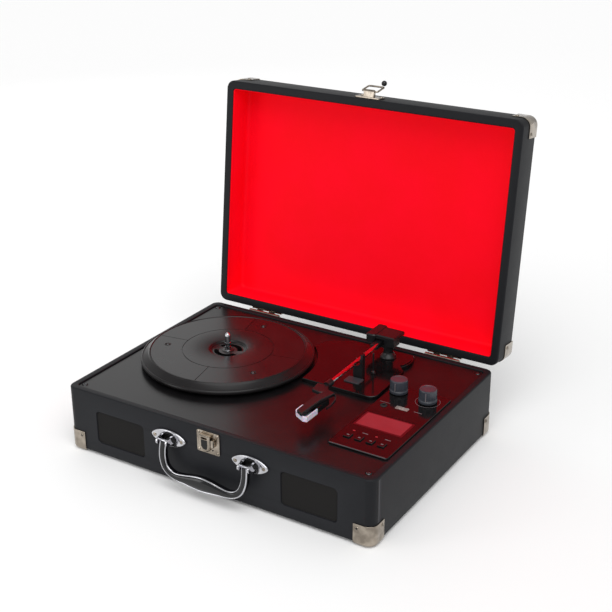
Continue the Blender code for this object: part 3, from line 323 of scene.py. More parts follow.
def grainedFinish(name, dark, light, rough, grain, height, **sockets):
    # a plain finish with one grain, given in mm, which shows in its tone, its shine and its surface
    mat, tree, shader, spot = newMaterial(name, **sockets)
    speck = addNode(tree, "ShaderNodeTexNoise", {"Scale": perMetre(grain), "Detail": 4.0}, {"Vector": spot})
    mottle(tree, shader, speck.outputs["Fac"], dark, light)
    addNode(tree, "ShaderNodeMapRange", {"To Min": rough * 0.9, "To Max": rough * 1.1},
            {"Value": speck.outputs["Fac"]}, shader.inputs["Roughness"])
    addNode(tree, "ShaderNodeBump", {"Strength": height, "Distance": 0.00005},
            {"Height": speck.outputs["Fac"]}, shader.inputs["Normal"])
    return mat


look = {
    "vinyl": embossedLeathercloth(),
    "lining": redFlockPaper(),
    # satin ABS deck: soft, broad reflections of the red lid
    "deck": mouldedPlastic("satinMouldedAbs", "#0e0d0e", "#131213", 0.30, 0.06, 0.26),
    # the platter's ABS is a shade warmer than the deck
    "platter": mouldedPlastic("satinMouldedPlatter", "#121011", "#171516", 0.28, 0.06, 0.27),
    # ABS from a polished mould: near-black with clear reflections
    "gloss": mouldedPlastic("polishedMouldedAbs", "#0c0b0c", "#0f0e0f", 0.14, 0.03, 0.30),
    # nylon tonearm parts: a dry satin that shows its grain
    "arm": mouldedPlastic("satinMouldedNylon", "#101012", "#161618", 0.33, 0.2, 0.35),
    # grey ABS knobs: bluish, with a soft highlight on each rib
    "knob": mouldedPlastic("greyMouldedAbs", "#30333a", "#393c44", 0.24, 0.1, 0.5),
    # the handle's polished ABS: black with sharp highlights
    "handle": mouldedPlastic("polishedHandleAbs", "#08090b", "#0c0d10", 0.10, 0.02, 0.45),
    # nickel plate: warm, a little cloudy and dented, with darker and paler patches painted in as
    # reflections
    "nickel": platedMetal("nickelPlatedSteel", "#867d72", "#aba194", 0.17, 0.5),
    # chrome plate: cool and clear, black where it reflects the dark
    "chrome": platedMetal("chromePlatedSteel", "#b9b9be", "#c9c9cd", 0.09, 0.20),
    # bare rolled steel of the motor: greyer and more scattered
    "steel": platedMetal("rolledBareSteel", "#a8a8a8", "#b8b8b8", 0.25, 0.1),
    # chemically blackened screws: dark metal with a dull shine
    "blackSteel": platedMetal("blackenedSteel", "#4a4a4c", "#5a5a5c", 0.25, 0.2),
    "cloth": wovenSpeakerCloth(),
    # pressed hardboard under the case: brownish black and dry
    "board": grainedFinish("pressedHardboard", "#1b1917", "#242220", 0.75, 2.5, 0.4),
    # moulded rubber: flat black
    "rubber": grainedFinish("mouldedRubber", "#0f0f0f", "#161616", 0.7, 1.111, 0.3),
    # pressed pulp cones: flat, with loose fibres
    "paper": grainedFinish("pressedPulpPaper", "#171615", "#22201f", 0.85, 1.429, 0.5),
    # pale styrene needle guard: milky, and light gets a little way into it
    "guard": grainedFinish("mouldedMilkyStyrene", "#ddcfe6", "#e9def0", 0.25, 3.333, 0.05,
                           Subsurface_Weight=0.3, Subsurface_Scale=0.003),
    # cast acrylic display: smooth and glassy over a dull red field
    "window": grainedFinish("tintedCastAcrylic", "#4c1015", "#54141a", 0.14, 16.67, 0.01,
                            Specular_IOR_Level=0.35),
    "glass": grainedFinish("redCastAcrylic", "#8a2a31", "#92323a", 0.16, 33.33, 0.01,
                           Specular_IOR_Level=0.35),
    # tin plated socket shell: pale grey, only half mirror-like
    "tin": grainedFinish("tinPlatedShell", "#a39c98", "#c4bcb6", 0.4, 2.5, 0.1, Metallic=0.3),
    # matt black sheets inside holes and recesses: painted shade, so that they read as deep
    "dark": mouldedPlastic("recessShadeBlackAbs", "#060606", "#0a0a0a", 0.35, 0.1, 0.3),
    # green solder mask on the circuit board: smooth and slightly glossy
    "circuit": grainedFinish("printedSolderMask", "#12401f", "#1c552c", 0.35, 4.0, 0.2),
    # leathercloth folded over on itself: painted paler than the case as a highlight where it catches the
    # light
    "welt": grainedFinish("highlightPaleLeathercloth", "#2b2b2f", "#3b3a3f", 0.5, 1.111, 0.4,
                          Specular_IOR_Level=0.3),
    # the panel's rounded front edge: painted grey, far paler than the black panel, as the thin line of
    # light it catches
    "lip": mouldedPlastic("paintedHighlightAbsEdge", "#3a3638", "#4a4648", 0.2, 0.02, 0.6),
    # screen printed ink: flat and slightly raised
    "print": grainedFinish("greyScreenInk", "#6f6669", "#857b7e", 0.5, 1.111, 0.1),
    "redPrint": grainedFinish("redScreenInk", "#a8202a", "#b82c34", 0.5, 1.111, 0.1),
}

# parts that keep their own mesh, by finish, and the edges that get a small bevel
finishOf = {
    "board": ["bottom_board"], "deck": ["deck_plate", "rear_jack_plate"],
    "cloth": ["grille_left", "grille_right"],
    "paper": ["speaker_driver_left", "speaker_driver_right"],
    "nickel": ["latch_plate", "latch_catch", "latch_slider", "hinge_base_leaf_left",
               "hinge_base_leaf_right", "hinge_lid_leaf_left", "hinge_lid_leaf_right", "hasp_bracket"],
    "steel": ["motor", "spindle_bush"], "rubber": ["motor_pulley", "drive_belt", "audio_jack"],
    "gloss": ["arm_plate", "cartridge", "control_panel", "button_1", "button_2", "button_3", "button_4"],
    "arm": ["arm_turret", "arm_carrier", "arm_counterweight", "headshell", "arm_rest", "cue_rod"],
    "guard": ["stylus_guard"], "window": ["display_window"], "tin": ["usb_socket"],
    "circuit": ["circuit_board"],
}
edgeOf = {
    0.0009: ["arm_plate"], 0.0006: ["control_panel", "headshell", "arm_turret", "arm_counterweight"],
    0.0005: ["arm_carrier", "latch_catch"], 0.0004: ["cartridge", "arm_rest"],
    0.0003: ["button_1", "button_2", "button_3", "button_4", "latch_slider", "hasp_bracket"],
    0.0002: ["stylus_guard", "latch_plate", "display_window"],
}
for finish, names in finishOf.items():
    for name in names:
        nodes[name].data.materials.clear()
        nodes[name].data.materials.append(look[finish])
for width, names in edgeOf.items():
    for name in names:
        bevel(nodes[name], width)
print("materials and kept parts done")


def put(ob, body, finish, *stoodFor):
    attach(ob, body)
    if stoodFor:
        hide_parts(*stoodFor)
    return ob


# case wall, wrapped in leathercloth, with rounded rims, two speaker windows and a hole for the rear sockets
shell = {"rim": 0.0016, "seg": 10, "innerR": 0.004, "ledgeIn": 0.0085, "ledgeDeep": 0.005,
         "windowX": 0.1104, "windowZ": 0.0308, "windowW": 0.0598, "windowH": 0.0352, "windowR": 0.004,
         "windowLip": 0.0006, "rearHole": (-0.146, -0.094, 0.020, 0.040)}


def caseRing(inset, z, r):
    line = roundRect(-halfW + inset, halfW - inset, -halfD + inset, halfD - inset, r, shell["seg"])
    return [place(x, y, z) for x, y in line]


def rimSteps(height, sign):
    return [(shell["rim"] * c, height - sign * shell["rim"] * s) for s, c in quarter(4)]


rings = [caseRing(e, z, case["corner"] - e) for e, z in reversed(rimSteps(0.0, -1))]
rings += [caseRing(e, z, case["corner"] - e) for e, z in rimSteps(case["h"], 1)]
rings += [caseRing(case["wall"] - e * 0.5, z, shell["innerR"]) for e, z in reversed(rimSteps(case["h"], 1))]
ledge = case["wall"] + shell["ledgeIn"]
ledgeLow = top["ledge"] - shell["ledgeDeep"]
for inset, z in ((case["wall"], top["ledge"]), (ledge, top["ledge"]), (ledge, ledgeLow),
                 (case["wall"], ledgeLow), (case["wall"], 0.0)):
    rings.append(caseRing(inset, z, shell["innerR"]))
bm = bmesh.new()
skin(bm, rings, closed=True)
caseWall = finishMesh("caseWall", bm, look["vinyl"])
bm = bmesh.new()
wide, high, lip = shell["windowW"] / 2, shell["windowH"] / 2, shell["windowLip"]
for sx in (-1, 1):
    x, z = sx * shell["windowX"], shell["windowZ"]
    mouth = roundRect(x - wide - lip, x + wide + lip, z - high - lip, z + high + lip,
                      shell["windowR"] + lip)
    hole = roundRect(x - wide, x + wide, z - high, z + high, shell["windowR"])
    steps = ((mouth, -0.003), (mouth, -0.0001), (hole, 0.0009), (hole, 0.012))
    skin(bm, [[place(a, -halfD + y, b) for a, b in line] for line, y in steps])
hole = roundRect(*shell["rearHole"], 0.002)
skin(bm, [[place(a, halfD + y, b) for a, b in hole] for y in (-0.012, 0.004)])
carve(caseWall, finishMesh("windowTool", bm, None))
put(caseWall, "case", "vinyl", "case_shell")

# lid tray and its lining
tray = {"backR": 0.0030, "rimR": 0.0014, "innerRimR": 0.0009, "innerR": 0.0035, "floor": 0.0045}
lining = {"clear": 0.0002, "behind": 0.0048, "floor": 0.0055, "floorR": 0.0040, "edge": 0.0006}


def lidRing(inset, back, r):
    line = roundRect(-halfW + inset, halfW - inset, inset, case["d"] - inset, max(r, 0.001), shell["seg"])
    return [lidPlace(x, u, back) for x, u in line]


rings = [lidRing(0.03, lid["t"] - 0.0002, 0.004)]
for s, c in quarter(6):
    rings.append(lidRing(tray["backR"] * s, lid["t"] - tray["backR"] * c,
                         case["corner"] - tray["backR"] * s))
for s, c in quarter(4):
    rings.append(lidRing(tray["rimR"] * c, tray["rimR"] * s, case["corner"] - tray["rimR"] * c))
for s, c in quarter(3):
    rings.append(lidRing(lid["wall"] - tray["innerRimR"] * s, tray["innerRimR"] * c, tray["innerR"]))
rings.append(lidRing(lid["wall"], lid["t"] - tray["floor"], tray["innerR"]))
bm = bmesh.new()
skin(bm, rings)
put(finishMesh("lidTray", bm, look["vinyl"]), "lid", "vinyl", "lid_shell")
inset = lid["wall"] + lining["clear"]
rings = [lidRing(inset, lid["t"] - lining["behind"], 0.0032), lidRing(inset, 0.0007, 0.0032),
         lidRing(inset + 0.0003, 0.0006, 0.0030), lidRing(inset + lining["edge"], 0.0009, 0.0028)]
for s, c in quarter(6):
    rings.append(lidRing(inset + lining["edge"] + lining["floorR"] * c,
                         lid["t"] - lining["floor"] - lining["floorR"] * s, 0.0060 - 0.0030 * c))
rings.append(lidRing(inset + 0.03, lid["t"] - lining["floor"], 0.004))
bm = bmesh.new()
skin(bm, rings)
put(finishMesh("lidLining", bm, look["lining"], 60), "lid", "lining", "lid_lining")
print("case and lid done")

# pressed corner guards, each with two riveted sides
guard = {"size": 0.020, "thick": 0.0006, "seg": 10, "rivetIn": 0.0160, "rivetUp": 0.0155,
         "head": [(0, -0.0003), (0.0021, -0.0003), (0.0021, 0.0001), (0.0018, 0.0005), (0.0014, 0.0007),
                  (0.0012, 0.0006), (0.0010, 0.0003), (0, 0.0002)],
         "bore": [(0, 0.00015), (0.0011, 0.00015), (0.0011, 0.00040), (0.0004, 0.00045), (0, 0.00045)]}


def cornerGuard(name, sx, sy, sz, at, spotOf, body, node):
    size = guard["size"]
    off = gap + guard["thick"]
    r = case["corner"]
    z = at[2]

    def ring(out, height, reach):
        line = [(at[0] - sx * reach, at[1] + sy * out)]
        for i in range(guard["seg"] + 1):
            a = math.radians(90.0 * i / guard["seg"])
            line.append((at[0] - sx * r + sx * (r + out) * math.sin(a),
                         at[1] - sy * r + sy * (r + out) * math.cos(a)))
        line.append((at[0] + sx * out, at[1] - sy * reach))
        return [spotOf(x, y, height) for x, y in line]

    # up the outside from the free edge, round the bend, over the end and back down the inside
    section = [(gap, -size, size), (off - 0.00015, -size, size), (off, 0.0002 - size, size - 0.0001),
               (off, -0.0014, size), (off - 0.0002, -0.0004, size - 0.0001),
               (off - 0.0006, off - 0.00025, size - 0.0003), (off - 0.0012, off, size - 0.0006),
               (gap - 0.0013, gap, size - 0.0009), (gap, -0.0012, size)]
    endPlate = 6  # the row where the flat end starts
    bm = bmesh.new()
    rows = [[bm.verts.new(p) for p in ring(out, z + sz * up, reach)] for out, up, reach in section]
    n = len(rows)
    for i in range(n):
        if i == endPlate:
            continue
        a = rows[i]
        b = rows[(i + 1) % n]
        for k in range(len(a) - 1):
            bm.faces.new((a[k], a[k + 1], b[k + 1], b[k]))
    over, under = rows[endPlate], rows[endPlate + 1]
    bm.faces.new(over)
    bm.faces.new(under)
    bm.faces.new((over[0], over[-1], under[-1], under[0]))
    for end in (0, -1):
        bm.faces.new([row[end] for row in rows])
    put(finishMesh(name, bm, look["nickel"], 30), body, "nickel", node)

    rivetZ = z - sz * guard["rivetUp"]
    zero = spotOf(0, 0, 0)
    rivets = [(spotOf(at[0] - sx * guard["rivetIn"], at[1] + sy * off, rivetZ),
               (spotOf(0, 1, 0) - zero) * sy),
              (spotOf(at[0] + sx * off, at[1] - sy * guard["rivetIn"], rivetZ),
               (spotOf(1, 0, 0) - zero) * sx)]
    bm = bmesh.new()
    for spot, axis in rivets:
        turned(bm, guard["head"], spot, axis, 20)
    put(finishMesh(name + "Rivets", bm, look["nickel"]), body, "nickel")
    # black discs in the rivets' hollows: painted shade
    bm = bmesh.new()
    for spot, axis in rivets:
        turned(bm, guard["bore"], spot, axis, 14)
    put(finishMesh(name + "BoreShades", bm, look["dark"]), body, "dark")


for sx, sy, tag in ((-1, -1, "front_left"), (1, -1, "front_right"), (-1, 1, "rear_left"),
                    (1, 1, "rear_right")):
    word = "baseGuard" + tag.title().replace("_", "")
    cornerGuard(word, sx, sy, -1, (sx * halfW, sy * halfD, 0.0), place, "case", "base_guard_" + tag)
for sx, sy, tag in ((-1, -1, "lower_left"), (1, -1, "lower_right"), (-1, 1, "upper_left"),
                    (1, 1, "upper_right")):
    word = "lidGuard" + tag.title().replace("_", "")
    corner = (sx * halfW, case["d"] if sy > 0 else 0.0, lid["t"])
    cornerGuard(word, sx, sy, 1, corner, lidPlace, "lid", "lid_guard_" + tag)
print("corner guards done")

# carrying handle: chrome end plates with ears, and a black bow edged with bright beading.
# The bow's rows are across, up, forward of the pins, half width and half thickness
handle = {"x": 0.0475, "z": 0.0465, "plate": (0.0208, 0.0087, 0.95, 1.35),
          "well": (0.0102, 0.0052, 0.8, 1.1),
          "rounding": [(1.0, 0.0), (1.0, 0.0010), (0.985, 0.0017), (0.955, 0.0022), (0.90, 0.0024),
                       (0.78, 0.0024), (0.70, 0.0021)],
          "earX": 0.0056, "earHalf": 0.0010, "screwX": 0.0160,
          "screw": [(0, -0.0004), (0.0021, -0.0004), (0.0021, 0.0002), (0.0017, 0.0006), (0.0010, 0.00085),
                    (0.0004, 0.0004), (0, 0.0004)],
          "pin": [(0, -0.0064), (0.0015, -0.0064), (0.0015, 0.0064), (0, 0.0064)],
          "beadR": 0.0009, "squareness": (0.8, 0.8), "slack": 0.96,
          "bow": [(0.0475, 0.0465, 0.0, 0.0039, 0.0034), (0.0480, 0.0375, 0.0010, 0.0038, 0.0040),
                  (0.0472, 0.0295, 0.0020, 0.0038, 0.0042), (0.0440, 0.0215, 0.0030, 0.0037, 0.0042),
                  (0.0380, 0.0166, 0.0035, 0.0037, 0.0043), (0.0300, 0.0147, 0.0040, 0.0040, 0.0045),
                  (0.0200, 0.0150, 0.0040, 0.0052, 0.0049), (0.0090, 0.0156, 0.0040, 0.0069, 0.0053)],
          "bowMiddle": (0.0, 0.0158, 0.0040, 0.0076, 0.0055)}
front = -halfD - gap
pinY = front - 0.0080


def handlePlate(tag, sx):
    cx = sx * handle["x"]
    oval = superOval(*handle["plate"])
    bm = bmesh.new()
    skin(bm, [[place(cx + a * k, front - h, handle["z"] + b * k) for a, b in oval]
              for k, h in handle["rounding"]])
    turns = [math.radians(-90 - 15.0 * i) for i in range(12, -1, -1)]
    ear = [(-0.0076 + 0.0038 * math.cos(a), -0.0036 * math.sin(a)) for a in turns]
    ear = [(0.0004, -0.0042)] + ear + [(0.0004, 0.0042)]
    for ex in (-handle["earX"], handle["earX"]):
        skin(bm, [[place(cx + ex + half, front - 0.0020 + a, handle["z"] + b) for a, b in ear]
                  for half in (-handle["earHalf"], handle["earHalf"])])
    plate = finishMesh("handlePlate" + tag, bm, look["chrome"])
    bevel(plate, 0.0003)
    put(plate, "case", "chrome", "handle_plate_" + tag.lower())
    bm = bmesh.new()
    for ex in (-handle["screwX"], handle["screwX"]):
        turned(bm, handle["screw"], place(cx + ex, front - 0.0021, handle["z"]), (0, -1, 0), 24)
    put(finishMesh("handleScrews" + tag, bm, look["nickel"]), "case", "nickel")
    # a black oval sheet in the plate's well: painted shade
    oval = superOval(*handle["well"])
    bm = bmesh.new()
    skin(bm, [[place(cx + a * k, front - h, handle["z"] + b * k) for a, b in oval]
              for k, h in ((1.0, 0.0019), (1.0, 0.0024), (0.9, 0.0024))])
    put(finishMesh("handleWellShade" + tag, bm, look["dark"]), "case", "dark")


def smoothLine(points, steps):
    # a curve through every point
    out = []
    n = len(points)
    for i in range(n - 1):
        four = list(zip(points[max(i - 1, 0)], points[i], points[i + 1], points[min(i + 2, n - 1)]))
        for k in range(steps):
            t = k / steps
            out.append([0.5 * (2 * b + (c - a) * t + (2 * a - 5 * b + 4 * c - d) * t * t
                               + (3 * b - a - 3 * c + d) * t ** 3) for a, b, c, d in four])
    out.append(list(points[-1]))
    return out


def bead(name, path, r, mat):
    rows = []
    for i, p in enumerate(path):
        along = (path[min(i + 1, len(path) - 1)] - path[max(i - 1, 0)]).normalized()
        side = along.cross(Vector((0, 1, 0))).normalized()
        rise = side.cross(along).normalized()
        rows.append([p + side * a + rise * b for a, b in circle(r, 12)])
    bm = bmesh.new()
    skin(bm, rows)
    return finishMesh(name, bm, mat)


handlePlate("Left", -1)
handlePlate("Right", 1)
bow = [(-x, z, o, w, t) for x, z, o, w, t in handle["bow"]] + [handle["bowMiddle"]] + handle["bow"][::-1]
bow = smoothLine(bow, 5)
rings = []
beadIn = []
beadOut = []
for i, (x, z, o, w, t) in enumerate(bow):
    a = bow[max(i - 1, 0)]
    b = bow[min(i + 1, len(bow) - 1)]
    along = Vector((b[0] - a[0], b[1] - a[1])).normalized()
    nx, nz = -along.y, along.x
    oval = superOval(w * handle["slack"], t * handle["slack"], *handle["squareness"], 28)
    rings.append([place(x + nx * u, pinY - o + v, z + nz * u) for u, v in oval])
    beadIn.append(place(x + nx * (w - 0.0008), pinY - o - t * 0.42, z + nz * (w - 0.0008)))
    beadOut.append(place(x - nx * (w - 0.0013), pinY - o - t * 0.66, z - nz * (w - 0.0013)))
bm = bmesh.new()
skin(bm, rings)
put(finishMesh("handleBow", bm, look["handle"], 50), "handle", "handle", "handle_bow")
put(bead("handleBeadInner", beadIn, handle["beadR"], look["chrome"]), "handle", "chrome")
put(bead("handleBeadOuter", beadOut, handle["beadR"], look["chrome"]), "handle", "chrome")
bm = bmesh.new()
for sx in (-1, 1):
    turned(bm, handle["pin"], place(sx * handle["x"], pinY, handle["z"]), (1, 0, 0), 20)
put(finishMesh("handlePins", bm, look["chrome"]), "handle", "chrome")
print("handle done")

# platter with a stepped rim, joint lines, two recess slots, three rubber pads and the centre pin.
# Profiles are radius and height
platter = {"x": -0.0755, "y": 0.010, "slotR": (0.0150, 0.0098), "seamDeg": (-172, 103, 11, -79),
           "seam": (0.0482, 0.0808, 0.0003), "padR": 0.0655, "padDeg": (-157.0, 89.0, -32.0),
           "profile": [(0.0036, 0.0698), (0.0036, 0.0770), (0.0058, 0.0770), (0.0062, 0.0768),
                       (0.0065, 0.0764), (0.0176, 0.0764), (0.0180, 0.0766), (0.0183, 0.0774),
                       (0.0190, 0.0776), (0.0196, 0.0783), (0.0200, 0.0788), (0.0206, 0.0790),
                       (0.0478, 0.0790), (0.04795, 0.0785), (0.04845, 0.0785), (0.0486, 0.0790),
                       (0.0812, 0.0790), (0.0816, 0.0787), (0.0819, 0.0790), (0.0822, 0.0794),
                       (0.0826, 0.0795), (0.0830, 0.0793), (0.0833, 0.0788), (0.0840, 0.0780),
                       (0.0850, 0.0773), (0.0890, 0.0744), (0.0896, 0.0741), (0.0899, 0.0743),
                       (0.0903, 0.0745), (0.0908, 0.0744), (0.0914, 0.0739), (0.0918, 0.0731),
                       (0.0920, 0.0723), (0.0920, 0.0714), (0.0917, 0.0704), (0.0910, 0.0698),
                       (0.0880, 0.0698), (0.0865, 0.0738), (0.0625, 0.0755), (0.0625, 0.0702),
                       (0.0585, 0.0702), (0.0585, 0.0755), (0.0220, 0.0755), (0.0205, 0.0740),
                       (0.0200, 0.0698)],
           "padSeat": [(0, 0.0776), (0.0035, 0.0776), (0.0035, 0.0810), (0, 0.0810)],
           "pad": [(0, 0.0777), (0.0033, 0.0777), (0.0033, 0.0789), (0.0030, 0.0793), (0.0026, 0.0792),
                   (0.0023, 0.0787), (0, 0.0787)],
           "padScrew": [(0, 0.0785), (0.0017, 0.0785), (0.0017, 0.0790), (0.0014, 0.0794), (0.0008, 0.0796),
                        (0.0003, 0.0793), (0, 0.0793)],
           "pin": [(0, 0.0540), (0.0035, 0.0540), (0.0035, 0.0765), (0.0031, 0.0770), (0.0031, 0.0812),
                   (0.0028, 0.0814), (0.0028, 0.0818), (0.0031, 0.0820), (0.0031, 0.0858), (0.0028, 0.0860),
                   (0.0028, 0.0864), (0.0030, 0.0866), (0.0030, 0.0925), (0.0029, 0.0938), (0.0025, 0.0951),
                   (0.0017, 0.0961), (0.0008, 0.0966), (0, 0.0967)]}
px, py = platter["x"], platter["y"]
bm = bmesh.new()
turned(bm, platter["profile"], place(px, py, 0), seg=160)
platterDisc = finishMesh("platterDisc", bm, look["platter"], 25)
bm = bmesh.new()
for start in (20.0, 200.0):
    slot = arcLine(px, py, platter["slotR"][0], start, start + 140.0, 24)
    slot += arcLine(px, py, platter["slotR"][1], start + 140.0, start, 24)
    prism(bm, slot, 0.0680, 0.0784)
r0, r1, half = platter["seam"]
for deg in platter["seamDeg"]:
    c, s = math.cos(math.radians(deg)), math.sin(math.radians(deg))
    line = [(r0, -half), (r1, -half), (r1, half), (r0, half)]
    prism(bm, [(px + a * c - b * s, py + a * s + b * c) for a, b in line], 0.0784, 0.0800)
padSpots = []
for deg in platter["padDeg"]:
    a = math.radians(deg)
    padSpots.append(place(px + platter["padR"] * math.cos(a), py + platter["padR"] * math.sin(a), 0))
for spot in padSpots:
    turned(bm, platter["padSeat"], spot, seg=24)
carve(platterDisc, finishMesh("slotTool", bm, None))
put(platterDisc, "platter", "platter", "platter")
bm = bmesh.new()
for spot in padSpots:
    turned(bm, platter["pad"], spot, seg=28)
put(finishMesh("recordPads", bm, look["dark"]), "platter", "rubber")
bm = bmesh.new()
for spot in padSpots:
    turned(bm, platter["padScrew"], spot, seg=24)
put(finishMesh("padScrews", bm, look["blackSteel"]), "platter", "blackSteel")
bm = bmesh.new()
turned(bm, platter["pin"], place(px, py, 0), seg=40)
put(finishMesh("centreSpindle", bm, look["chrome"]), "case", "chrome", "spindle")
print("platter done")

# tonearm: pivot cone, the collar that turns on it, the foot under the rest, and the tube
arm = {"x": 0.0711, "y": 0.0950, "tubeR": 0.0022, "tubeL": 0.0999,
       "tubeBack": (0.0652, 0.0810, 0.088), "tubeFront": (0.0675, -0.0190, 0.088),
       "cone": [(0.0035, 0.0706), (0.0086, 0.0706), (0.0087, 0.0710), (0.0086, 0.0716), (0.0080, 0.0725),
                (0.0070, 0.0738), (0.0061, 0.0751), (0.0056, 0.0762), (0.0054, 0.0768), (0.0035, 0.0768)],
       "collar": [(0.0033, 0.0772), (0.0053, 0.0772), (0.0055, 0.0775), (0.0055, 0.0782), (0.0051, 0.0785),
                  (0.0051, 0.0800), (0.0055, 0.0803), (0.0055, 0.0850), (0.0033, 0.0850)],
       "restFoot": (0.0590, 0.0765, 0.0215, 0.0338)}
pivot = place(arm["x"], arm["y"], 0)
bm = bmesh.new()
turned(bm, arm["cone"], pivot, seg=56)
put(finishMesh("pivotCone", bm, look["arm"]), "case", "arm", "arm_pivot_cone")
bm = bmesh.new()
turned(bm, arm["collar"], pivot, seg=48)
put(finishMesh("turretCollar", bm, look["arm"]), "arm_yoke", "arm")
bm = bmesh.new()
prism(bm, roundRect(*arm["restFoot"], 0.0012, 4), top["armPlate"] - 0.0002, top["armPlate"] + 0.0012)
# the rest foot's top is painted pale grey as a highlight
restFoot = finishMesh("restFoot", bm, look["welt"])
bevel(restFoot, 0.0005)
put(restFoot, "case", "arm")
tubeBack, tubeFront = place(*arm["tubeBack"]), place(*arm["tubeFront"])
tube = [(0, 0), (arm["tubeR"] - 0.0002, 0), (arm["tubeR"], 0.0002), (arm["tubeR"], arm["tubeL"]),
        (0, arm["tubeL"])]
bm = bmesh.new()
turned(bm, tube, tubeBack, (tubeFront - tubeBack).normalized(), 40)
put(finishMesh("armTube", bm, look["chrome"]), "arm", "chrome", "arm_tube")
print("tonearm done")

# two knobs: skirted, faintly ribbed, each with a pointer line
knob = {"h": 0.0147, "ribs": 36, "ribDeep": 0.00016, "seg": 144, "pointerDeg": (-88.0, -78.0),
        "at": [(0.1161, 0.0337), (0.1503, 0.0297)],
        "shaft": [(0, 0.0606), (0.0031, 0.0606), (0.0031, 0.0690), (0, 0.0690)]}
knobTop = top["panel"] + knob["h"]
knobSide = [(0.0090, 0.0686), (0.00945, 0.0688), (0.0095, 0.0692), (0.0095, 0.0706), (0.00945, 0.0712),
            (0.0091, 0.0715), (0.0089, 0.0718), (0.00885, 0.0740), (0.0088, knobTop - 0.0014),
            (0.0087, knobTop - 0.0007), (0.0084, knobTop - 0.0002), (0.0079, knobTop), (0.0066, knobTop),
            (0.0063, knobTop - 0.0003), (0.0030, knobTop - 0.0004)]
for i, (kx, ky) in enumerate(knob["at"]):
    tag = str(i + 1)
    rows = []
    for r, z in knobSide:
        deep = knob["ribDeep"] if 0.0717 < z < knobTop - 0.0008 else 0.0
        row = []
        for k in range(knob["seg"]):
            a = 2 * math.pi * k / knob["seg"]
            ribbed = r + deep * math.cos(knob["ribs"] * a)
            row.append(place(kx, ky, z) + Vector((ribbed * math.cos(a), ribbed * math.sin(a), 0)))
        rows.append(row)
    bm = bmesh.new()
    skin(bm, rows)
    turned(bm, knob["shaft"], place(kx, ky, 0), seg=24)
    put(finishMesh("controlKnob" + tag, bm, look["knob"]), "knob_" + tag, "knob", "knob_" + tag)
    heading = math.radians(knob["pointerDeg"][i])
    along = Vector((math.cos(heading), math.sin(heading), 0))
    side = Vector((-along.y, along.x, 0))
    quad = [along * d + side * s
            for d, s in ((0.00865, 0.0003), (0.00865, -0.0003), (0.0092, -0.0003), (0.0092, 0.0003))]
    bm = bmesh.new()
    skin(bm, [[place(kx, ky, z) + p for p in quad] for z in (0.0722, knobTop - 0.0016)])
    put(finishMesh("knobPointer" + tag, bm, look["print"]), "knob_" + tag, "print")
print("knobs done")

# hasp: a bent wire loop and the ball on its corner
hasp = {"up": case["d"] + 0.0073, "back": 0.0080, "tilt": math.radians(13), "len": 0.0155, "half": 0.0092,
        "wireR": 0.0010, "bend": 0.0022, "ballR": 0.0030}


def haspPoint(x, along, lift=0.0):
    c, s = math.cos(hasp["tilt"]), math.sin(hasp["tilt"])
    return lidPlace(x, hasp["up"] + along * s + lift * c, hasp["back"] + along * c - lift * s)


corners = [Vector((x, a)) for x, a in ((-hasp["half"], 0.0), (-hasp["half"], hasp["len"]),
                                       (hasp["half"], hasp["len"]), (hasp["half"], 0.0))]
path = []
for i, q in enumerate(corners):
    before = (corners[i - 1] - q).normalized() * hasp["bend"]
    after = (corners[(i + 1) % 4] - q).normalized() * hasp["bend"]
    for k in range(7):
        t = k / 6
        v = q + before * (1 - t) ** 2 + after * t ** 2
        path.append(haspPoint(v.x, v.y))
rise = (haspPoint(0, 0, 1) - haspPoint(0, 0, 0)).normalized()
rows = []
for i, p in enumerate(path):
    side = (path[(i + 1) % len(path)] - path[i - 1]).normalized().cross(rise).normalized()
    rows.append([p + side * a + rise * b for a, b in circle(hasp["wireR"], 14)])
bm = bmesh.new()
skin(bm, rows, closed=True)
put(finishMesh("haspLoop", bm, look["nickel"]), "hasp", "nickel", "hasp_loop")
ballR = hasp["ballR"]
turns = [math.radians(a) for a in range(10, 180, 10)]
ball = [(0, 0.0)] + [(ballR * math.sin(a), ballR - ballR * math.cos(a)) for a in turns] + [(0, 2 * ballR)]
bm = bmesh.new()
turned(bm, ball, haspPoint(hasp["half"], hasp["len"], 0.0015), rise, 32)
put(finishMesh("haspBall", bm, look["handle"]), "hasp", "handle", "hasp_knob")

# deck screws, over their moulded heads
deckScrew = {"x": 0.1650, "y": 0.1155,
             "head": [(0, 0.0660), (0.0026, 0.0660), (0.0026, 0.0664), (0.0023, 0.0667), (0.0016, 0.0670),
                      (0.0009, 0.0671), (0.0006, 0.0669), (0, 0.0669)]}
bm = bmesh.new()
for sx in (-1, 1):
    for sy in (-1, 1):
        turned(bm, deckScrew["head"], place(sx * deckScrew["x"], sy * deckScrew["y"], 0), seg=28)
put(finishMesh("deckScrewHeads", bm, look["blackSteel"]), "case", "blackSteel")
print("hasp and deck screws done")

# printed marks on the panel and the buttons: plain bars and an arc, no lettering. Bars are x0, x1, y0, y1
marks = {"sunk": 0.0002, "proud": 0.00006,
         "grey": [(0.1095, 0.1205, 0.0072, 0.0076), (0.1480, 0.1570, 0.0040, 0.0046),
                  (0.1260, 0.1320, -0.0580, -0.0572), (0.1500, 0.1560, -0.0580, -0.0572)],
         "red": [(0.1158, 0.1182, -0.0584, -0.0568), (0.1398, 0.1422, -0.0584, -0.0568)],
         "arcR": (0.0124, 0.0121), "arcDeg": (-200, 50),
         "buttonX": (0.1170, 0.1290, 0.1410, 0.1530), "buttonTop": 0.0692}


def printMark(bm, x0, x1, y0, y1, z=top["panel"]):
    prism(bm, [(x0, y0), (x1, y0), (x1, y1), (x0, y1)], z - marks["sunk"], z + marks["proud"])


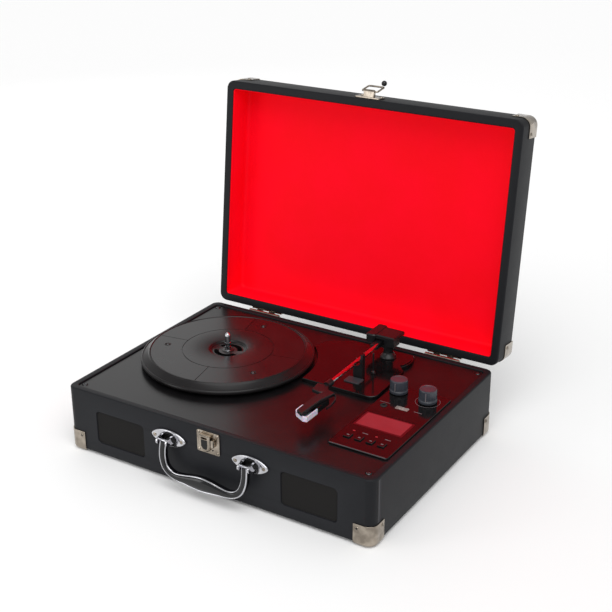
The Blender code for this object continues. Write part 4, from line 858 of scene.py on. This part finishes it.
bm = bmesh.new()
for bar in marks["grey"]:
    printMark(bm, *bar)
x, y = knob["at"][1]
a0, a1 = marks["arcDeg"]
arc = arcLine(x, y, marks["arcR"][0], a0, a1, 40) + arcLine(x, y, marks["arcR"][1], a1, a0, 40)
prism(bm, arc, top["panel"] - marks["sunk"], top["panel"] + marks["proud"])
put(finishMesh("panelPrint", bm, look["print"]), "case", "print")
bm = bmesh.new()
for bar in marks["red"]:
    printMark(bm, *bar)
put(finishMesh("panelPrintRed", bm, look["redPrint"]), "case", "redPrint")
for i, x in enumerate(marks["buttonX"]):
    tag = str(i + 1)
    bm = bmesh.new()
    printMark(bm, x - 0.0012, x + 0.0012, -0.0696, -0.0684, marks["buttonTop"])
    put(finishMesh("buttonMark" + tag, bm, look["print"]), "button_" + tag, "print")

# small inlays: display pane, latch recess and hole as black sheets of painted shade, welted seam on the
# right side with a painted shadow and painted highlights, panel's front edge painted pale as a highlight
inlay = {"pane": (0.1108, 0.1587, -0.0442, -0.0193), "paneZ": (0.0674, 0.06775),
         "latch": [(-0.0052, 0.0040), (-0.0052, -0.0028), (-0.0034, -0.0056), (0.0, -0.0062),
                   (0.0014, -0.0052), (0.0020, -0.0026), (0.0020, 0.0040)],
         "latchZ": 0.0555, "latchProud": 0.0050,
         "hole": [(0, -0.0002), (0.0008, -0.0002), (0.0008, 0.0002), (0, 0.0002)],
         "holeAt": (0.0052, 0.0480),
         "seams": [("seamShadow", 0.0080, 0.0088, 0.00012, "dark"),
                   ("seamWelt", 0.0090, 0.0116, 0.0003, "welt"),
                   ("seamRidge", 0.0124, 0.0130, 0.0003, "welt")],
         "seamZ": (0.0212, 0.0655),
         "lip": [(0.0, 0.0), (0.0, -0.0009), (-0.0005, -0.0013), (-0.0011, -0.0013), (-0.0016, -0.0009),
                 (-0.0016, 0.0), (-0.0010, 0.00022), (-0.0004, 0.00018)],
         "lipX": (0.1078, 0.1662), "lipY": -0.0868}
bm = bmesh.new()
prism(bm, roundRect(*inlay["pane"], 0.0012, 4), *inlay["paneZ"])
put(finishMesh("displayPane", bm, look["glass"]), "case", "glass")
latchY = front - inlay["latchProud"] - gap
# a black sheet on the catch's face where its recess is: painted shade
bm = bmesh.new()
skin(bm, [[place(x, latchY + y, inlay["latchZ"] + z) for x, z in inlay["latch"]] for y in (0.0004,
                                                                                           -0.00008)])
put(finishMesh("latchWellShade", bm, look["dark"]), "case", "dark")
holeX, holeZ = inlay["holeAt"]
# a thin black disc where the latch's hole is: painted shade
bm = bmesh.new()
turned(bm, inlay["hole"], place(holeX, front - 0.0011, holeZ), (0, -1, 0), 16)
put(finishMesh("latchHoleShade", bm, look["dark"]), "case", "dark")
# the first strip is a black sheet painted as the seam's shadow; the welt and ridge are painted paler as
# highlights
for name, y0, y1, proud, finish in inlay["seams"]:
    plan = ((halfW - 0.0006, y0), (halfW + proud, y0), (halfW + proud, y1), (halfW - 0.0006, y1))
    bm = bmesh.new()
    skin(bm, [[place(x, y - halfD, z) for x, y in plan] for z in inlay["seamZ"]])
    strip = finishMesh(name, bm, look[finish])
    bevel(strip, 0.00012)
    put(strip, "case", finish)
# a grey strip along the panel's front edge: a painted highlight
bm = bmesh.new()
skin(bm, [[place(x, inlay["lipY"] + a, top["panel"] + b) for a, b in inlay["lip"]] for x in inlay["lipX"]])
put(finishMesh("panelLipHighlight", bm, look["lip"]), "case", "lip")
print("prints and inlays done")

# pale floor, soft light from above and two faint soft boxes, and the camera
studio = {"floor": "#fafafa", "floorHalf": 60.0, "world": 0.55, "sun": 1.8, "sunWidth": 60.0,
          "sunAim": (-0.30, 0.46, -0.83), "fill": 3.0, "back": 1.5}
bm = bmesh.new()
bmesh.ops.create_grid(bm, x_segments=1, y_segments=1, size=studio["floorHalf"])
# matt painted board: no sheen, so only the soft shadow shows on it
floorPaint, tree, shader, spot = newMaterial("mattPaintedFloor", Roughness=0.9, Specular_IOR_Level=0.1)
shader.inputs["Base Color"].default_value = sRgb(studio["floor"])
finishMesh("floor", bm, floorPaint)

world = bpy.data.worlds.new("studioWorld")
bpy.context.scene.world = world
world.use_nodes = True
sky = world.node_tree.nodes["Background"]
sky.inputs[0].default_value = (1.0, 1.0, 1.0, 1.0)
sky.inputs[1].default_value = studio["world"]


def softbox(name, at, aim, size, power):
    light = bpy.data.lights.new(name, "AREA")
    light.shape = "RECTANGLE"
    light.size = size[0]
    light.size_y = size[1]
    light.energy = power
    ob = bpy.data.objects.new(name, light)
    ob.location = at
    ob.rotation_euler = (Vector(aim) - Vector(at)).to_track_quat("-Z", "Y").to_euler()
    bpy.context.scene.collection.objects.link(ob)


sun = bpy.data.lights.new("softSun", "SUN")
sun.energy = studio["sun"]
sun.angle = math.radians(studio["sunWidth"])
sunOb = bpy.data.objects.new("softSun", sun)
sunOb.rotation_euler = Vector(studio["sunAim"]).to_track_quat("-Z", "Y").to_euler()
bpy.context.scene.collection.objects.link(sunOb)
softbox("frontFill", (-0.9, -1.2, 0.5), (0, 0, 0.1), (0.5, 0.9), studio["fill"])
softbox("backSheen", (-1.15, 0.85, 0.80), (-0.1, -0.05, 0.07), (0.8, 0.7), studio["back"])

eye = {"at": (0.59912, -0.91303, 0.61645), "right": (0.848943, 0.528465, -0.004448),
       "up": (-0.205036, 0.337110, 0.918867), "focal": 1189.94, "frame": 612.0, "sensor": 36.0}
camData = bpy.data.cameras.new("camera")
camData.sensor_width = eye["sensor"]
camData.lens = eye["focal"] / eye["frame"] * eye["sensor"]
camera = bpy.data.objects.new("camera", camData)
rightAxis = Vector(eye["right"]).normalized()
upAxis = Vector(eye["up"]).normalized()
backAxis = rightAxis.cross(upAxis)
turn = Matrix((rightAxis, upAxis, backAxis)).transposed().to_4x4()
camera.matrix_world = Matrix.Translation(place(*eye["at"])) @ turn
bpy.context.scene.collection.objects.link(camera)
bpy.context.scene.camera = camera
bpy.context.scene.view_settings.view_transform = "Standard"
print("studio done")

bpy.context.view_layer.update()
